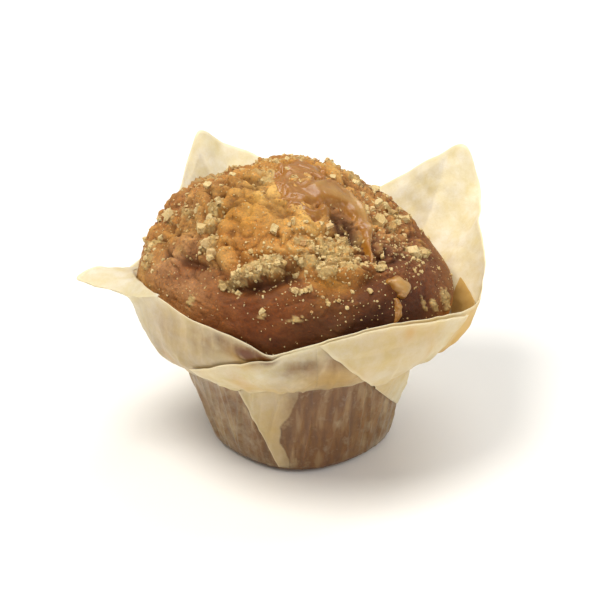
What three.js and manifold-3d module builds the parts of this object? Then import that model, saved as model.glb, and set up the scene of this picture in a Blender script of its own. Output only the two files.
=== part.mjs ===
// A caramel crumble muffin in its tulip wrap.
//
// The cake is one solid: a tapered cup below, an overhanging ring where the batter rose over the
// tin's rim, and a lumpy dome on top with the crumble and the caramel fused to it. The wrap is one
// square of baking paper that was pressed into the tin, so it has a round cup with a crease at
// the tin's rim, four corners that stand up or lean out, and pleats that take up the spare paper.
//
// Millimetres, +Z up. The origin is the middle of the flat base that the wrap stands on. The
// angles are degrees round the Z axis from +X; 270 is the side that the muffin shows.

import * as THREE from "three";
import { mergeVertices } from "three/addons/utils/BufferGeometryUtils.js";
import Module from "manifold-3d";

const wasm = await Module();
wasm.setup();

// Driving sizes of the tin's cup, which both the cake and the paper take.
const baseRadius = 25.4;
const baseSquare = 0.8; // the base is a little square: its corners lie this much out, its flats in
const baseCorner = 272;
const baseLean = 1.9; // the base stands this much off the axis of the cake, towards baseLeanTo
const baseLeanTo = 355;
const creaseRadius = 32.6;
const creaseHeight = 29;
const creaseRise = 3; // the crease is this much higher at creaseHigh, and lower opposite it
const creaseHigh = 295;
const baseFillet = 2.8;

// Driving sizes of the part of the cake above the tin.
const ringRadius = 46.5; // the widest place
const ringHeight = 48;
const domeRise = 35.5; // from the ring to the top
const shelf = 0.73; // how flat the overhang leaves the tin: 1 is a plain quarter wave, less is flatter

// Driving sizes of the paper.
const paperThickness = 0.6;
const paperGap = 0.65; // between the paper and the cake

// How finely the two skins are cut, the thickness below which a sliver is dropped, and how near
// two corners of a mesh are when they count as one.
const cakeColumns = 60;
const paperColumns = 72;
const sliver = 0.02;
const nearEnough = 1e-4;

const degrees = Math.PI / 180;

// A seeded source of numbers from 0 to 1, so that the crumble always falls the same way.
function random(seed) {
  let state = seed;
  return () => {
    state = (state + 0x6d2b79f5) | 0;
    let t = Math.imul(state ^ (state >>> 15), 1 | state);
    t = (t + Math.imul(t ^ (t >>> 7), 61 | t)) ^ t;
    return ((t ^ (t >>> 14)) >>> 0) / 4294967296;
  };
}

const { clamp, lerp } = THREE.MathUtils;
const smooth = (low, high, x) => THREE.MathUtils.smoothstep(x, low, high);
const swell = (distance, width) => Math.exp(-((distance / width) ** 2));

// Moves each vertex of a geometry to shape(u, v), where u and v are its texture coordinates.
function reshape(geometry, shape) {
  const { position, uv } = geometry.attributes;
  for (let i = 0; i < position.count; i++) {
    const p = shape(uv.getX(i), uv.getY(i));
    position.setXYZ(i, p.x, p.y, p.z);
  }
  return geometry;
}

// A geometry as a solid that can be joined, with its seam and its poles closed. A shape that came
// out with its faces turned inwards is turned round.
function solid(geometry) {
  geometry.deleteAttribute("normal");
  geometry.deleteAttribute("uv");
  const merged = mergeVertices(geometry, nearEnough);
  const index = merged.index.array;
  const kept = [];
  for (let i = 0; i < index.length; i += 3) {
    const [a, b, c] = index.slice(i, i + 3);
    if (a !== b && b !== c && c !== a) kept.push(a, b, c);
  }
  const bodyOf = (corners) =>
    new wasm.Manifold(
      new wasm.Mesh({
        numProp: 3,
        vertProperties: merged.attributes.position.array,
        triVerts: new Uint32Array(corners),
      }),
    );
  const body = bodyOf(kept);
  return body.volume() > 0 ? body : bodyOf(kept.reverse());
}

function joined(solids) {
  return solids.reduce((all, next) => all.add(next));
}

// A joined solid without the slivers, loose scraps and closed pockets that a join can leave.
function wholeOf(joinedSolid) {
  const bodies = joinedSolid.simplify(sliver).decompose();
  return bodies.reduce((a, b) => (b.volume() > a.volume() ? b : a));
}

function geometryOf(body) {
  const { vertProperties, triVerts, numProp } = body.getMesh();
  const vertices = [];
  for (let i = 0; i < vertProperties.length; i += numProp) {
    vertices.push(...vertProperties.slice(i, i + 3));
  }
  const geometry = new THREE.BufferGeometry();
  geometry.setAttribute("position", new THREE.Float32BufferAttribute(vertices, 3));
  geometry.setIndex([...triVerts]);
  geometry.computeVertexNormals();
  return geometry;
}

const cylindrical = (angle, r, z) =>
  new THREE.Vector3(r * Math.cos(angle * degrees), r * Math.sin(angle * degrees), z);

// The cup

const creaseHeightAt = (angle) =>
  creaseHeight + creaseRise * Math.cos((angle - creaseHigh) * degrees);

// The inner face of the paper cup at a height, from the base to the crease.
function cupRadius(angle, z) {
  const share = clamp(z / creaseHeightAt(angle), 0, 1);
  const square = baseSquare * Math.cos(4 * (angle - baseCorner) * degrees);
  const lean = baseLean * Math.cos((angle - baseLeanTo) * degrees);
  return lerp(baseRadius + square + lean, creaseRadius, share);
}

// The cake

// The overhang bulges quickly out of the tin and then turns upright at the ring.
function overhangRadius(angle, z) {
  const low = creaseHeightAt(angle);
  const share = clamp((z - low) / (ringHeight - low), 0, 1);
  const cup = creaseRadius - paperGap;
  return cup + (ringRadius - cup) * Math.sin((share * Math.PI) / 2) ** shelf;
}

// Swellings and hollows of the dome: where, how high it stands (or sinks), and how wide it is.
// rise is the angle above the ring, 90 at the top.
const lumps = [
  { angle: 8, rise: 44, height: -8.2, width: 34 }, // the low right shoulder
  { angle: 335, rise: 62, height: -2.2, width: 22 },
  { angle: 192, rise: 60, height: 2.6, width: 11 }, // the knob of the left shoulder
  { angle: 205, rise: 46, height: -1.6, width: 9 },
  { angle: 178, rise: 42, height: -1.8, width: 16 }, // the left flank
  { angle: 222, rise: 34, height: -1.8, width: 8 }, // the dark dent on the left
  { angle: 240, rise: 62, height: 2.2, width: 17 }, // the golden mound
  { angle: 100, rise: 76, height: 1.4, width: 13 },
  { angle: 255, rise: 15, height: 1.3, width: 22 }, // the smooth front roll
  { angle: 300, rise: 24, height: 2.0, width: 18 },
  { angle: 306, rise: 51, height: -3.0, width: 11 }, // the hollow under the caramel
  { angle: 40, rise: 25, height: 1.5, width: 16 },
  { angle: 95, rise: 40, height: 1.8, width: 15 },
  { angle: 130, rise: 58, height: -1.8, width: 13 },
  { angle: 150, rise: 30, height: 1.6, width: 14 },
];

// The split between the smooth roll of the rim and the rough middle. It fades in and out over
// twice the angle ends, and waves up and down.
const split = { from: 236, to: 318, ends: 8, rise: 34, wave: 4, waves: 7, depth: 2.2, width: 4 };

// The unevenness of the crust: little on the smooth roll and more on the crown, in two sizes. It
// and the lumps fade out towards the ring, between the two rises of reliefStarts.
const crust = { roll: 0.35, crown: 0.8, crownFrom: 25, crownFull: 45, fine: 0.6 };
const reliefStarts = [-2, 14];

function direction(angle, rise) {
  const flat = Math.cos(rise * degrees);
  return new THREE.Vector3(
    flat * Math.cos(angle * degrees),
    flat * Math.sin(angle * degrees),
    Math.sin(rise * degrees),
  );
}

// How far the dome's skin stands out of its plain shape.
function relief(angle, rise) {
  const here = direction(angle, rise);
  let out = 0;
  for (const lump of lumps) {
    const away = here.angleTo(direction(lump.angle, lump.rise)) / degrees;
    out += lump.height * swell(away, lump.width);
  }
  const alongSplit =
    smooth(split.from - split.ends, split.from + split.ends, angle) *
    (1 - smooth(split.to - split.ends, split.to + split.ends, angle));
  const line = split.rise + split.wave * Math.sin(angle * split.waves * degrees);
  out -= split.depth * alongSplit * swell(rise - line, split.width);
  const rough = lerp(crust.roll, crust.crown, smooth(crust.crownFrom, crust.crownFull, rise));
  const { x, y, z } = here;
  out += rough * Math.sin(11 * x + 2) * Math.sin(9 * y + 1) * Math.sin(10 * z);
  out += crust.fine * rough * Math.sin(23 * x) * Math.sin(21 * y + 2) * Math.sin(19 * z + 1);
  return out * smooth(...reliefStarts, rise);
}

// A point of the dome's skin, raised by lift along the way out of the cake.
function onDome(angle, rise, lift = 0) {
  const out = relief(angle, rise) + lift;
  const r = ringRadius * Math.cos(rise * degrees);
  const z = ringHeight + domeRise * Math.sin(rise * degrees);
  const way = new THREE.Vector3(r / ringRadius ** 2, 0, (z - ringHeight) / domeRise ** 2);
  way.normalize();
  return cylindrical(angle, r + way.x * out, z + way.z * out);
}

// The rows of the cake's skin, from the middle of its base to the top: across the base, up the
// plug, out over the overhang and up the dome.
const cakeBase = paperThickness + paperGap;
const filletFoot = 0.3; // this share of the fillet's height is where the wall counts as upright
const cakeBaseShares = [0, 0.5];
const plugShares = [0.15, 0.5, 1];
const overhangShares = [0.03, 0.12, 0.27, 0.45, 0.65, 0.85];
const domeRises = [0, 6, 12, 18, 24, 29, 33, 37, 41, 46, 51, 56, 61, 66, 71, 76, 81, 86, 90];

const cakeRows = [
  ...cakeBaseShares.map((share) => (angle) => cylindrical(angle, share * baseRadius, cakeBase)),
  (angle) => cylindrical(angle, cupRadius(angle, 0) - paperGap - baseFillet, cakeBase),
  ...plugShares.map((share) => (angle) => {
    const z = lerp(baseFillet * filletFoot, creaseHeightAt(angle), share);
    return cylindrical(angle, cupRadius(angle, z) - paperGap, Math.max(z, cakeBase + 1));
  }),
  ...overhangShares.map((share) => (angle) => {
    const z = lerp(creaseHeightAt(angle), ringHeight, share);
    return cylindrical(angle, overhangRadius(angle, z), z);
  }),
  ...domeRises.map((rise) => (angle) => onDome(angle, rise)),
];

// A skin round the axis from rows that each give a point for an angle.
function skin(rows, columns) {
  const profile = rows.map((_, i) => new THREE.Vector2(1, i));
  const last = rows.length - 1;
  return reshape(new THREE.LatheGeometry(profile, columns), (u, v) => {
    const angle = 360 * (u % 1);
    return rows[Math.round(v * last)](angle);
  });
}

// The crumble, as lumps of baked butter and flour: angle, rise and size across.
const crumbleShown = [
  [221, 49, 2.6],
  [226, 43, 2.4],
  [232, 41, 3.0],
  [200, 58, 2.6],
  [206, 55, 3.0],
  [212, 54, 2.8],
  [185, 41, 3.2],
  [191, 27, 2.6],
  [196, 21, 2.2],
  [255, 56, 2.6],
  [242, 32, 4.0],
  [246, 35, 4.6],
  [250, 38, 5.0],
  [254, 41, 5.4],
  [259, 42, 5.2],
  [263, 44, 4.4],
  [247, 28, 1.8],
  [272, 31, 2.6],
  [258, 23, 1.8],
  [271, 35, 2.2],
  [286, 37, 3.8],
  [292, 41, 3.2],
  [282, 43, 3.4],
  [273, 44, 2.4],
  [299, 38, 2.0],
  [307, 37, 2.4],
  [312, 34, 2.6],
  [318, 34, 2.4],
  [329, 34, 3.4],
  [336, 30, 4.2],
  [348, 51, 3.6],
  [338, 52, 3.0],
  [322, 53, 2.6],
  [301, 58, 2.6],
  [287, 55, 2.6],
  [278, 50, 2.4],
  [294, 46, 2.6],
  [321, 19, 2.4],
  [331, 21, 2.6],
];

// More of it lies on the sides that are turned away, over a turn of turnFrom to turnTo.
const elsewhere = { count: 28, turnFrom: -18, turnTo: 187, low: 14, high: 82 };
const crumbleSmall = 1.8;
const crumbleLarge = 4.2;
const crumbleLift = 0.12; // a lump's middle lies this share of its size above the skin
const crumbleStretch = [0.8, 1.3];

function crumb(angle, rise, size, draw) {
  const sides = new THREE.IcosahedronGeometry(size / 2, 0);
  const stretch = () => lerp(...crumbleStretch, draw());
  sides.scale(stretch(), stretch(), stretch());
  sides.rotateX(draw() * Math.PI);
  sides.rotateZ(draw() * Math.PI);
  const place = onDome(angle, rise, size * crumbleLift);
  return solid(sides.translate(place.x, place.y, place.z));
}

function crumble() {
  const draw = random(7);
  const made = crumbleShown.map(([angle, rise, size]) => crumb(angle, rise, size, draw));
  for (let i = 0; i < elsewhere.count; i++) {
    const angle = lerp(elsewhere.turnFrom, elsewhere.turnTo, (i + draw()) / elsewhere.count);
    const rise = lerp(elsewhere.low, elsewhere.high, draw() ** 0.8);
    const size = lerp(crumbleSmall, crumbleLarge, draw() ** 2);
    made.push(crumb(angle, rise, size, draw));
  }
  return made;
}

// A run of caramel: a rounded bead along a line on the dome, thin at both ends.
// Each stop is angle, rise and half width.
const caramelRuns = [
  [
    [262, 70, 1.0],
    [272, 74, 1.8],
    [296, 77, 2.4],
    [322, 75, 3.2],
    [329, 68, 3.8],
    [325, 61, 3.6],
    [318, 54, 2.8],
    [311, 47, 1.6],
    [307, 42, 0.8],
  ],
  [
    [300, 84, 1.4],
    [280, 82, 2.4],
    [262, 80, 2.2],
    [250, 78, 1.2],
  ],
  [
    [315, 28, 1.4],
    [312, 26, 2.8],
    [310, 22, 2.6],
    [308, 16, 2.0],
    [307, 12, 1.2],
  ],
];

const caramelSides = 8;
const caramelRings = 3; // for each step between two stops
const caramelHeight = 0.6; // as a share of its half width
const domeCore = new THREE.Vector3(0, 0, ringHeight - 20); // the dome faces away from here

function caramel(stops) {
  const line = new THREE.CatmullRomCurve3(stops.map(([angle, rise]) => onDome(angle, rise)));
  const last = stops.length - 1;
  const bead = new THREE.SphereGeometry(1, caramelSides, caramelRings * last);
  return solid(
    reshape(bead, (u, v) => {
      const along = clamp(v, 0, 1);
      const stop = Math.min(Math.floor(along * last), last - 1);
      const half = lerp(stops[stop][2], stops[stop + 1][2], along * last - stop);
      const middle = line.getPoint(along);
      const out = middle.clone().sub(domeCore).normalize();
      const side = new THREE.Vector3().crossVectors(line.getTangent(along), out).normalize();
      const round = half * Math.sqrt(Math.max(0, 1 - (2 * along - 1) ** 8));
      const turn = 2 * Math.PI * (u % 1);
      return middle
        .addScaledVector(side, round * Math.cos(turn))
        .addScaledVector(out, caramelHeight * round * Math.sin(turn));
    }),
  );
}

// The paper

// The rim of the paper, once round: angle, distance from the axis, height, and how far the
// flare bows inwards between crease and rim, which bends the tips outwards.
const rim = [
  [5, 55.8, 53.3, -7],
  [20, 58.1, 59.2, -2],
  [28, 63.2, 60.8, 0],
  [34, 66.9, 65.5, 0],
  [40, 67.5, 74.1, 0],
  [47, 63.6, 69.2, 0],
  [57, 59.5, 61.2, 0],
  [66, 57.0, 55.2, 0],
  [82, 55.5, 53.0, 0],
  [95, 59.0, 59.5, 0],
  [103, 63.0, 64.0, 0],
  [110, 64.0, 67.5, 0],
  [118.5, 61.8, 74.3, 0],
  [123, 59.4, 68.6, 0],
  [129, 55.0, 61.5, 0],
  [138, 50.8, 54.0, 0],
  [152, 49.4, 48.0, 0],
  [166, 50.8, 48.0, 3],
  [175, 54.0, 51.7, 6],
  [180, 58.2, 54.2, 9],
  [184.5, 63.4, 53.6, 10],
  [189, 58.6, 53.0, 9],
  [193, 52.8, 52.8, 7],
  [198, 50.0, 52.9, 4],
  [204, 48.9, 55.0, 2],
  [211, 48.3, 57.4, 1],
  [219, 48.1, 60.0, 0],
  [227, 48.0, 58.9, 0],
  [234, 48.0, 57.6, 0],
  [242, 48.0, 56.6, 0],
  [249, 48.0, 55.6, 0],
  [255, 48.0, 53.4, 0],
  [261, 48.0, 51.0, 0],
  [271, 48.2, 53.4, 0],
  [282, 48.5, 55.8, 0],
  [296, 48.8, 57.4, 0],
  [310, 49.4, 56.4, 0],
  [322, 50.4, 54.2, -2],
  [333, 52.6, 51.8, -7],
  [343, 54.0, 50.4, -12],
  [352, 54.2, 50.4, -13],
];

// A value of a table whose rows start with an angle, read smoothly all the way round.
function roundTable(rows, angle) {
  const at = ((angle % 360) + 360) % 360;
  const count = rows.length;
  let i = rows.findIndex((row) => row[0] > at);
  if (i < 0) i = 0;
  const pick = (k) => rows[(k + count) % count];
  const [p0, p1, p2, p3] = [pick(i - 2), pick(i - 1), pick(i), pick(i + 1)];
  const span = (p2[0] - p1[0] + 360) % 360;
  const t = ((at - p1[0] + 360) % 360) / span;
  return p1.slice(1).map((b, k) => {
    const [a, c, d] = [p0[k + 1], p2[k + 1], p3[k + 1]];
    const limit = (x) => clamp(x, -2 * Math.abs(c - b), 2 * Math.abs(c - b));
    const [into, out] = [limit((c - a) / 2), limit((d - b) / 2)];
    const t2 = t * t;
    const t3 = t2 * t;
    return (
      (2 * t3 - 3 * t2 + 1) * b + (t3 - 2 * t2 + t) * into + (3 * t2 - 2 * t3) * c + (t3 - t2) * out
    );
  });
}

const paperClearance = 0.6; // more room above the ring, where the cake's crust is uneven

// A point of the flare's inner face, from the crease (share 0) to the rim (share 1). It lies on
// the overhang where the cake pushes it out.
function flare(angle, share) {
  const [rimRadius, rimHeight, bow] = roundTable(rim, angle);
  const low = creaseHeightAt(angle);
  const along = new THREE.Vector2(rimRadius - creaseRadius, rimHeight - low);
  const reach = along.length();
  const inwards = new THREE.Vector2(-along.y, along.x).divideScalar(reach);
  const bend = 2 * share * (1 - share) * bow;
  const z = low + along.y * share + inwards.y * bend;
  const r = creaseRadius + along.x * share + inwards.x * bend;
  const held = z < ringHeight ? overhangRadius(angle, z) : ringRadius + paperClearance;
  return { r: Math.max(r, held + paperGap), z };
}

const cupShares = [0.12, 0.4, 0.7, 1];
const flareShares = [0.04, 0.14, 0.28, 0.44, 0.62, 0.8, 1];
const roundOfBase = { inwards: 0.3, up: 0.22 }; // the middle of the base's round edge, in fillets

// The inner face of the paper as points of a half section: distance from the axis and height.
function section(angle) {
  const edge = cupRadius(angle, 0);
  const points = [
    { r: 0, z: paperThickness },
    { r: baseRadius / 2, z: paperThickness },
    { r: edge - baseFillet, z: paperThickness },
    {
      r: edge - baseFillet * roundOfBase.inwards,
      z: paperThickness + baseFillet * roundOfBase.up,
    },
  ];
  const low = creaseHeightAt(angle);
  for (const share of cupShares) {
    points.push({ r: cupRadius(angle, share * low), z: share * low });
  }
  for (const share of flareShares) points.push(flare(angle, share));
  return points;
}

// The outer face lies a paper's thickness outside the inner one.
function outside(points, i, thickness) {
  const [a, b] = [points[Math.max(i - 1, 0)], points[Math.min(i + 1, points.length - 1)]];
  const [dr, dz] = [b.r - a.r, b.z - a.z];
  const length = Math.hypot(dr, dz);
  return {
    r: Math.max(0, points[i].r + (thickness * dz) / length),
    z: Math.max(0, points[i].z - (thickness * dr) / length),
  };
}

const sectionRows = section(0).length;

function paperRow(i, outer) {
  return (angle) => {
    const points = section(angle);
    const at = outer ? outside(points, i, paperThickness) : points[i];
    return i === 0 ? new THREE.Vector3(0, 0, outer ? 0 : at.z) : cylindrical(angle, at.r, at.z);
  };
}

function paperSheet() {
  const upwards = [...Array(sectionRows).keys()];
  const rows = [
    ...upwards.map((i) => paperRow(i, true)),
    ...upwards.reverse().map((i) => paperRow(i, false)),
  ];
  return solid(skin(rows, paperColumns));
}

const levelStep = 0.02; // how far up the paper its slope is measured

// A point of the paper that stands off its outer face by a distance. level runs from the base (0)
// over the crease (1) to the rim (2), and past it along the same slope.
function onPaper(angle, level, away) {
  const low = creaseHeightAt(angle);
  const inner = (at) =>
    at < 1 ? { r: cupRadius(angle, at * low), z: at * low } : flare(angle, at - 1);
  const [here, above] = [inner(level), inner(level + levelStep)];
  const [dr, dz] = [above.r - here.r, above.z - here.z];
  const length = Math.hypot(dr, dz);
  const out = paperThickness + away;
  return cylindrical(angle, here.r + (out * dz) / length, here.z - (out * dr) / length);
}

// A point on a line through stops of equal spacing, read with straight steps.
function alongStops(stops, share) {
  const last = stops.length - 1;
  const i = Math.min(Math.floor(share * last), last - 1);
  return stops[i].map((a, k) => lerp(a, stops[i + 1][k], share * last - i));
}

// A pleat is a second layer of paper that lies over the sheet. Its fold and its hidden edge run up
// the wrap from a common foot, and its top follows the rim. Each stop is angle, level and how far
// the layer stands off the sheet. The middle stop of a fold and of a hidden edge is the crease.
const flush = 0.1;
const pleats = [
  {
    // the front panel, which overlaps the left one
    fold: [
      [262, 0.08, flush],
      [251, 0.55, 0.2],
      [239, 1.0, 0.4],
      [236, 1.2, 0.7],
      [234, 1.42, 1.0],
    ],
    hidden: [
      [276, 0.08, flush],
      [277, 0.5, flush],
      [278, 1.0, flush],
      [277, 1.4, flush],
      [276, 1.96, flush],
    ],
    top: [
      [234, 1.42, 1.0],
      [243, 1.49, 1.2],
      [251, 1.61, 1.0],
      [260, 1.86, 0.4],
      [276, 1.96, flush],
    ],
  },
  {
    // the corner panel on the right, which swings out over the front one
    fold: [
      [341, 0.38, flush],
      [322, 0.72, 0.3],
      [309, 1.0, 0.4],
      [293, 1.4, 0.4],
      [282, 1.97, 0.2],
    ],
    hidden: [
      [347, 0.4, flush],
      [339, 0.75, 4.2],
      [335, 1.05, 3.4],
      [333, 1.4, 1.0],
      [337, 2.02, 0.8],
    ],
    top: [
      [282, 1.97, 0.2],
      [293, 2.0, 0.6],
      [305, 2.03, 1.0],
      [321, 2.06, 1.2],
      [337, 2.02, 0.8],
    ],
  },
  {
    // one on the far right
    fold: [
      [40, 0.08, flush],
      [54, 0.55, 0.2],
      [70, 1.0, 0.5],
      [78, 1.2, 1.4],
      [86, 1.43, 2.2],
    ],
    hidden: [
      [30, 0.08, flush],
      [31, 0.5, flush],
      [33, 1.0, flush],
      [38, 1.4, flush],
      [44, 1.95, flush],
    ],
    top: [
      [86, 1.43, 2.2],
      [78, 1.73, 1.8],
      [68, 1.9, 0.8],
      [56, 1.88, 0.3],
      [44, 1.95, flush],
    ],
  },
  {
    // one on the far left
    fold: [
      [120, 0.08, flush],
      [135, 0.55, 0.2],
      [150, 1.0, 0.4],
      [157, 1.15, 1.0],
      [164, 1.27, 1.6],
    ],
    hidden: [
      [108, 0.08, flush],
      [108, 0.5, flush],
      [110, 1.0, flush],
      [115, 1.4, flush],
      [120, 1.9, flush],
    ],
    top: [
      [164, 1.27, 1.6],
      [155, 1.59, 1.3],
      [144, 1.83, 0.6],
      [132, 1.9, 0.3],
      [120, 1.9, flush],
    ],
  },
];
const pleatAcross = 5;
const pleatUp = 12;
const pleatSunk = paperThickness / 3; // a layer reaches this far into the sheet's thickness

// Where a pleat's layer lies, across from the fold (0) to the hidden edge (1) and up from the
// foot (0) to the top (1): angle, level and how far it stands off the sheet.
function pleatPlace(pleat, across, up) {
  const fold = alongStops(pleat.fold, up);
  const hidden = alongStops(pleat.hidden, up);
  const top = alongStops(pleat.top, across);
  const [left, right] = [pleat.top[0], pleat.top.at(-1)];
  return fold.map((value, k) => {
    const flat = lerp(value, hidden[k], across);
    return flat + up * up * (top[k] - lerp(left[k], right[k], across));
  });
}

// The layer as a solid that is filled down into the sheet.
function pleatLayer(pleat) {
  const grid = new THREE.BoxGeometry(1, 1, 1, pleatAcross, pleatUp, 1);
  const { position } = grid.attributes;
  for (let i = 0; i < position.count; i++) {
    const outer = position.getZ(i) > 0;
    const [across, up] = [position.getX(i) + 0.5, position.getY(i) + 0.5];
    const [angle, level, off] = pleatPlace(pleat, across, up);
    const p = onPaper(angle, level, outer ? off + paperThickness / 2 : -pleatSunk);
    position.setXYZ(i, p.x, p.y, p.z);
  }
  return solid(grid);
}

// The two pieces

function piece(name, body, look) {
  const made = new THREE.Mesh(geometryOf(body), new THREE.MeshStandardMaterial(look));
  made.name = name;
  return made;
}

const cakeBody = wholeOf(
  joined([solid(skin(cakeRows, cakeColumns)), ...crumble(), ...caramelRuns.map(caramel)]),
);
const paperBody = wholeOf(joined([paperSheet(), ...pleats.map(pleatLayer)]));

const muffin = new THREE.Group();
muffin.add(
  piece("cake", cakeBody, { color: 0x9a5f2c, roughness: 0.7, metalness: 0 }),
  piece("paper_wrap", paperBody, { color: 0xe6d3a4, roughness: 0.6, metalness: 0 }),
);

export default muffin;
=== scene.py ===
# %% [markdown]
# # A caramel crumble muffin in its paper wrap
#
# The real thing is made in one go: a square of baking paper is pressed into a round tin, batter
# goes in, crumble and caramel go on top, and the oven does the rest. The batter rises over the
# tin's rim and spreads, which gives the cap its overhang, and it tears where the crust sets first.
#
# The solid model of the cake and its paper is loaded first. It fixes the sizes. Everything below
# dresses it: each new piece follows the same few sizes, so it lies where the solid lies.

import math
import random

import bmesh
import bpy
import numpy as np
from mathutils import Matrix, Vector, noise


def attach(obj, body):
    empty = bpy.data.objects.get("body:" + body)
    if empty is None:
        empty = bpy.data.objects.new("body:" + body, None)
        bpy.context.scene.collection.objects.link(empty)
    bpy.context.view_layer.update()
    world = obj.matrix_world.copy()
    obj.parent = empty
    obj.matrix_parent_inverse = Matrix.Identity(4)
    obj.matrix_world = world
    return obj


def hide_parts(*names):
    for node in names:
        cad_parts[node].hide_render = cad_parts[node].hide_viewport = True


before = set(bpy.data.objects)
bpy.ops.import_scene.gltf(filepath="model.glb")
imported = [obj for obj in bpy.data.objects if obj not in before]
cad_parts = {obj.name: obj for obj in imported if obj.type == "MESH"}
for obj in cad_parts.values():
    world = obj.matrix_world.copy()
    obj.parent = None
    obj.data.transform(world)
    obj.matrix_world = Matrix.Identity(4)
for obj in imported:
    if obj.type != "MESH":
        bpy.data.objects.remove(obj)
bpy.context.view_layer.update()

# %% [markdown]
# ## Small helpers
#
# Shapes are worked out in millimetres, because that is how a baker's tin is measured, and each
# finished mesh is scaled to metres once. Angles are degrees round the upright axis from +X, so 270
# faces the camera.

# %% Numbers and blends
MM = 0.001
RADIANS = math.pi / 180


def lerp(a, b, share):
    return a + (b - a) * share


def clamp(value, low=0.0, high=1.0):
    return max(low, min(high, value))


def smooth(low, high, value):
    share = clamp((value - low) / (high - low))
    return share * share * (3 - 2 * share)


def swell(distance, width):
    return math.exp(-((distance / width) ** 2))


def turned(a, b):
    """The turn from b to a in degrees, from -180 to 180."""
    return (a - b + 180) % 360 - 180


def ring_point(angle, r, z):
    return Vector((r * math.cos(angle * RADIANS), r * math.sin(angle * RADIANS), z))


def direction(angle, rise):
    return ring_point(angle, math.cos(rise * RADIANS), math.sin(rise * RADIANS))


# Blender's own vector noise differs from run to run, so three plain noises take its place.
NOISE_SHIFTS = [Vector((31.4, 7.1, 2.9)), Vector((5.3, 41.7, 19.2)), Vector((13.8, 3.6, 53.1))]


def noise_way(spot):
    """A smoothly wandering vector that is the same at every run."""
    return Vector([noise.noise(spot + shift) for shift in NOISE_SHIFTS])


# %% [markdown]
# ## The camera and the light
#
# The muffin was shot from a little above, through a long lens that keeps its sides upright. The
# camera stands 700 mm from the cake, 27 degrees up. The light is that of a white studio box: a
# bright surround, one large soft lamp above on the left, and weaker ones that open the shadows.

# %% Camera
camera_distance = 700
camera_rise = 27
camera_aim = Vector((1.47, 0, 43.2)) * MM
picture_width = 176.4
sensor_width = 36

camera_way = direction(270, camera_rise)
camera = bpy.data.objects.new("camera", bpy.data.cameras.new("camera"))
camera.data.sensor_width = sensor_width
camera.data.lens = sensor_width * camera_distance / picture_width
camera.data.clip_start = 0.01
camera.location = camera_aim + camera_way * camera_distance * MM
camera.rotation_euler = camera_way.to_track_quat("Z", "Y").to_euler()
bpy.context.collection.objects.link(camera)
bpy.context.scene.camera = camera
print("lens, mm:", round(camera.data.lens, 1))


# %% Colours
def linear(code, alpha=1.0):
    """A colour that was read off a screen, as Blender wants it."""
    parts = [int(code[i : i + 2], 16) / 255 for i in (1, 3, 5)]
    return (*[p / 12.92 if p <= 0.04045 else ((p + 0.055) / 1.055) ** 2.4 for p in parts], alpha)


# %% Lamps and floor
def soft_lamp(name, angle, rise, distance, size, power, tint):
    lamp = bpy.data.objects.new(name, bpy.data.lights.new(name, "AREA"))
    lamp.data.shape = "DISK"
    lamp.data.size = size
    lamp.data.energy = power
    lamp.data.color = linear(tint)[:3]
    way = direction(angle, rise)
    lamp.location = camera_aim + way * distance
    lamp.rotation_euler = way.to_track_quat("Z", "Y").to_euler()
    bpy.context.collection.objects.link(lamp)


soft_lamp("key_lamp", angle=205, rise=66, distance=0.9, size=0.5, power=6.7, tint="#fffaf2")
soft_lamp("fill_lamp", angle=318, rise=35, distance=1.1, size=0.7, power=3.4, tint="#fdfcfa")
soft_lamp("back_lamp", angle=60, rise=60, distance=1.0, size=0.6, power=4.0, tint="#ffffff")

world = bpy.data.worlds.new("studio")
world.use_nodes = True
world.node_tree.nodes["Background"].inputs["Color"].default_value = linear("#ffffff")
world.node_tree.nodes["Background"].inputs["Strength"].default_value = 0.37
bpy.context.scene.world = world
bpy.context.scene.view_settings.view_transform = "Standard"


# %% [markdown]
# ## How a material is put together
#
# One function adds a node, sets it and links it, so that a finish reads as a list of what it is
# made of. Sockets are given by name, by number, or as a list in their order. For a Map Range node
# that order is the value, the range it comes from and the range it goes to. A Mix node of colours
# has its share at 0 and its two colours at 6 and 7.


# %% Nodes
def node(tree, kind, inputs=(), **settings):
    """Adds a node. An input is a number, a colour, an output, or a node, for its first output."""
    made = tree.nodes.new(kind)
    for key, value in settings.items():
        setattr(made, key, value)
    for key, value in inputs.items() if isinstance(inputs, dict) else enumerate(inputs):
        if isinstance(value, bpy.types.Node):
            value = next(socket for socket in value.outputs if socket.enabled)
        if isinstance(value, bpy.types.NodeSocket):
            tree.links.new(value, made.inputs[key])
        else:
            made.inputs[key].default_value = value
    return made


def new_material(name):
    material = bpy.data.materials.new(name)
    material.use_nodes = True
    material.node_tree.nodes.clear()
    return material, material.node_tree


def per(size_mm):
    """The scale at which a pattern's lumps are about size_mm wide."""
    return 1 / (size_mm * MM)


# %% Floor
floor_material, tree = new_material("studio_floor_card")
card = {"Base Color": linear("#f7f6f3"), "Roughness": 0.9, "Specular IOR Level": 0.1}
surface = node(tree, "ShaderNodeBsdfPrincipled", card)
node(tree, "ShaderNodeOutputMaterial", {"Surface": surface}, is_active_output=True)

floor_mesh = bpy.data.meshes.new("floor")
bm = bmesh.new()
bmesh.ops.create_grid(bm, x_segments=1, y_segments=1, size=3)
bm.to_mesh(floor_mesh)
bm.free()
floor = bpy.data.objects.new("floor", floor_mesh)
floor.data.materials.append(floor_material)
bpy.context.collection.objects.link(floor)
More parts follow.
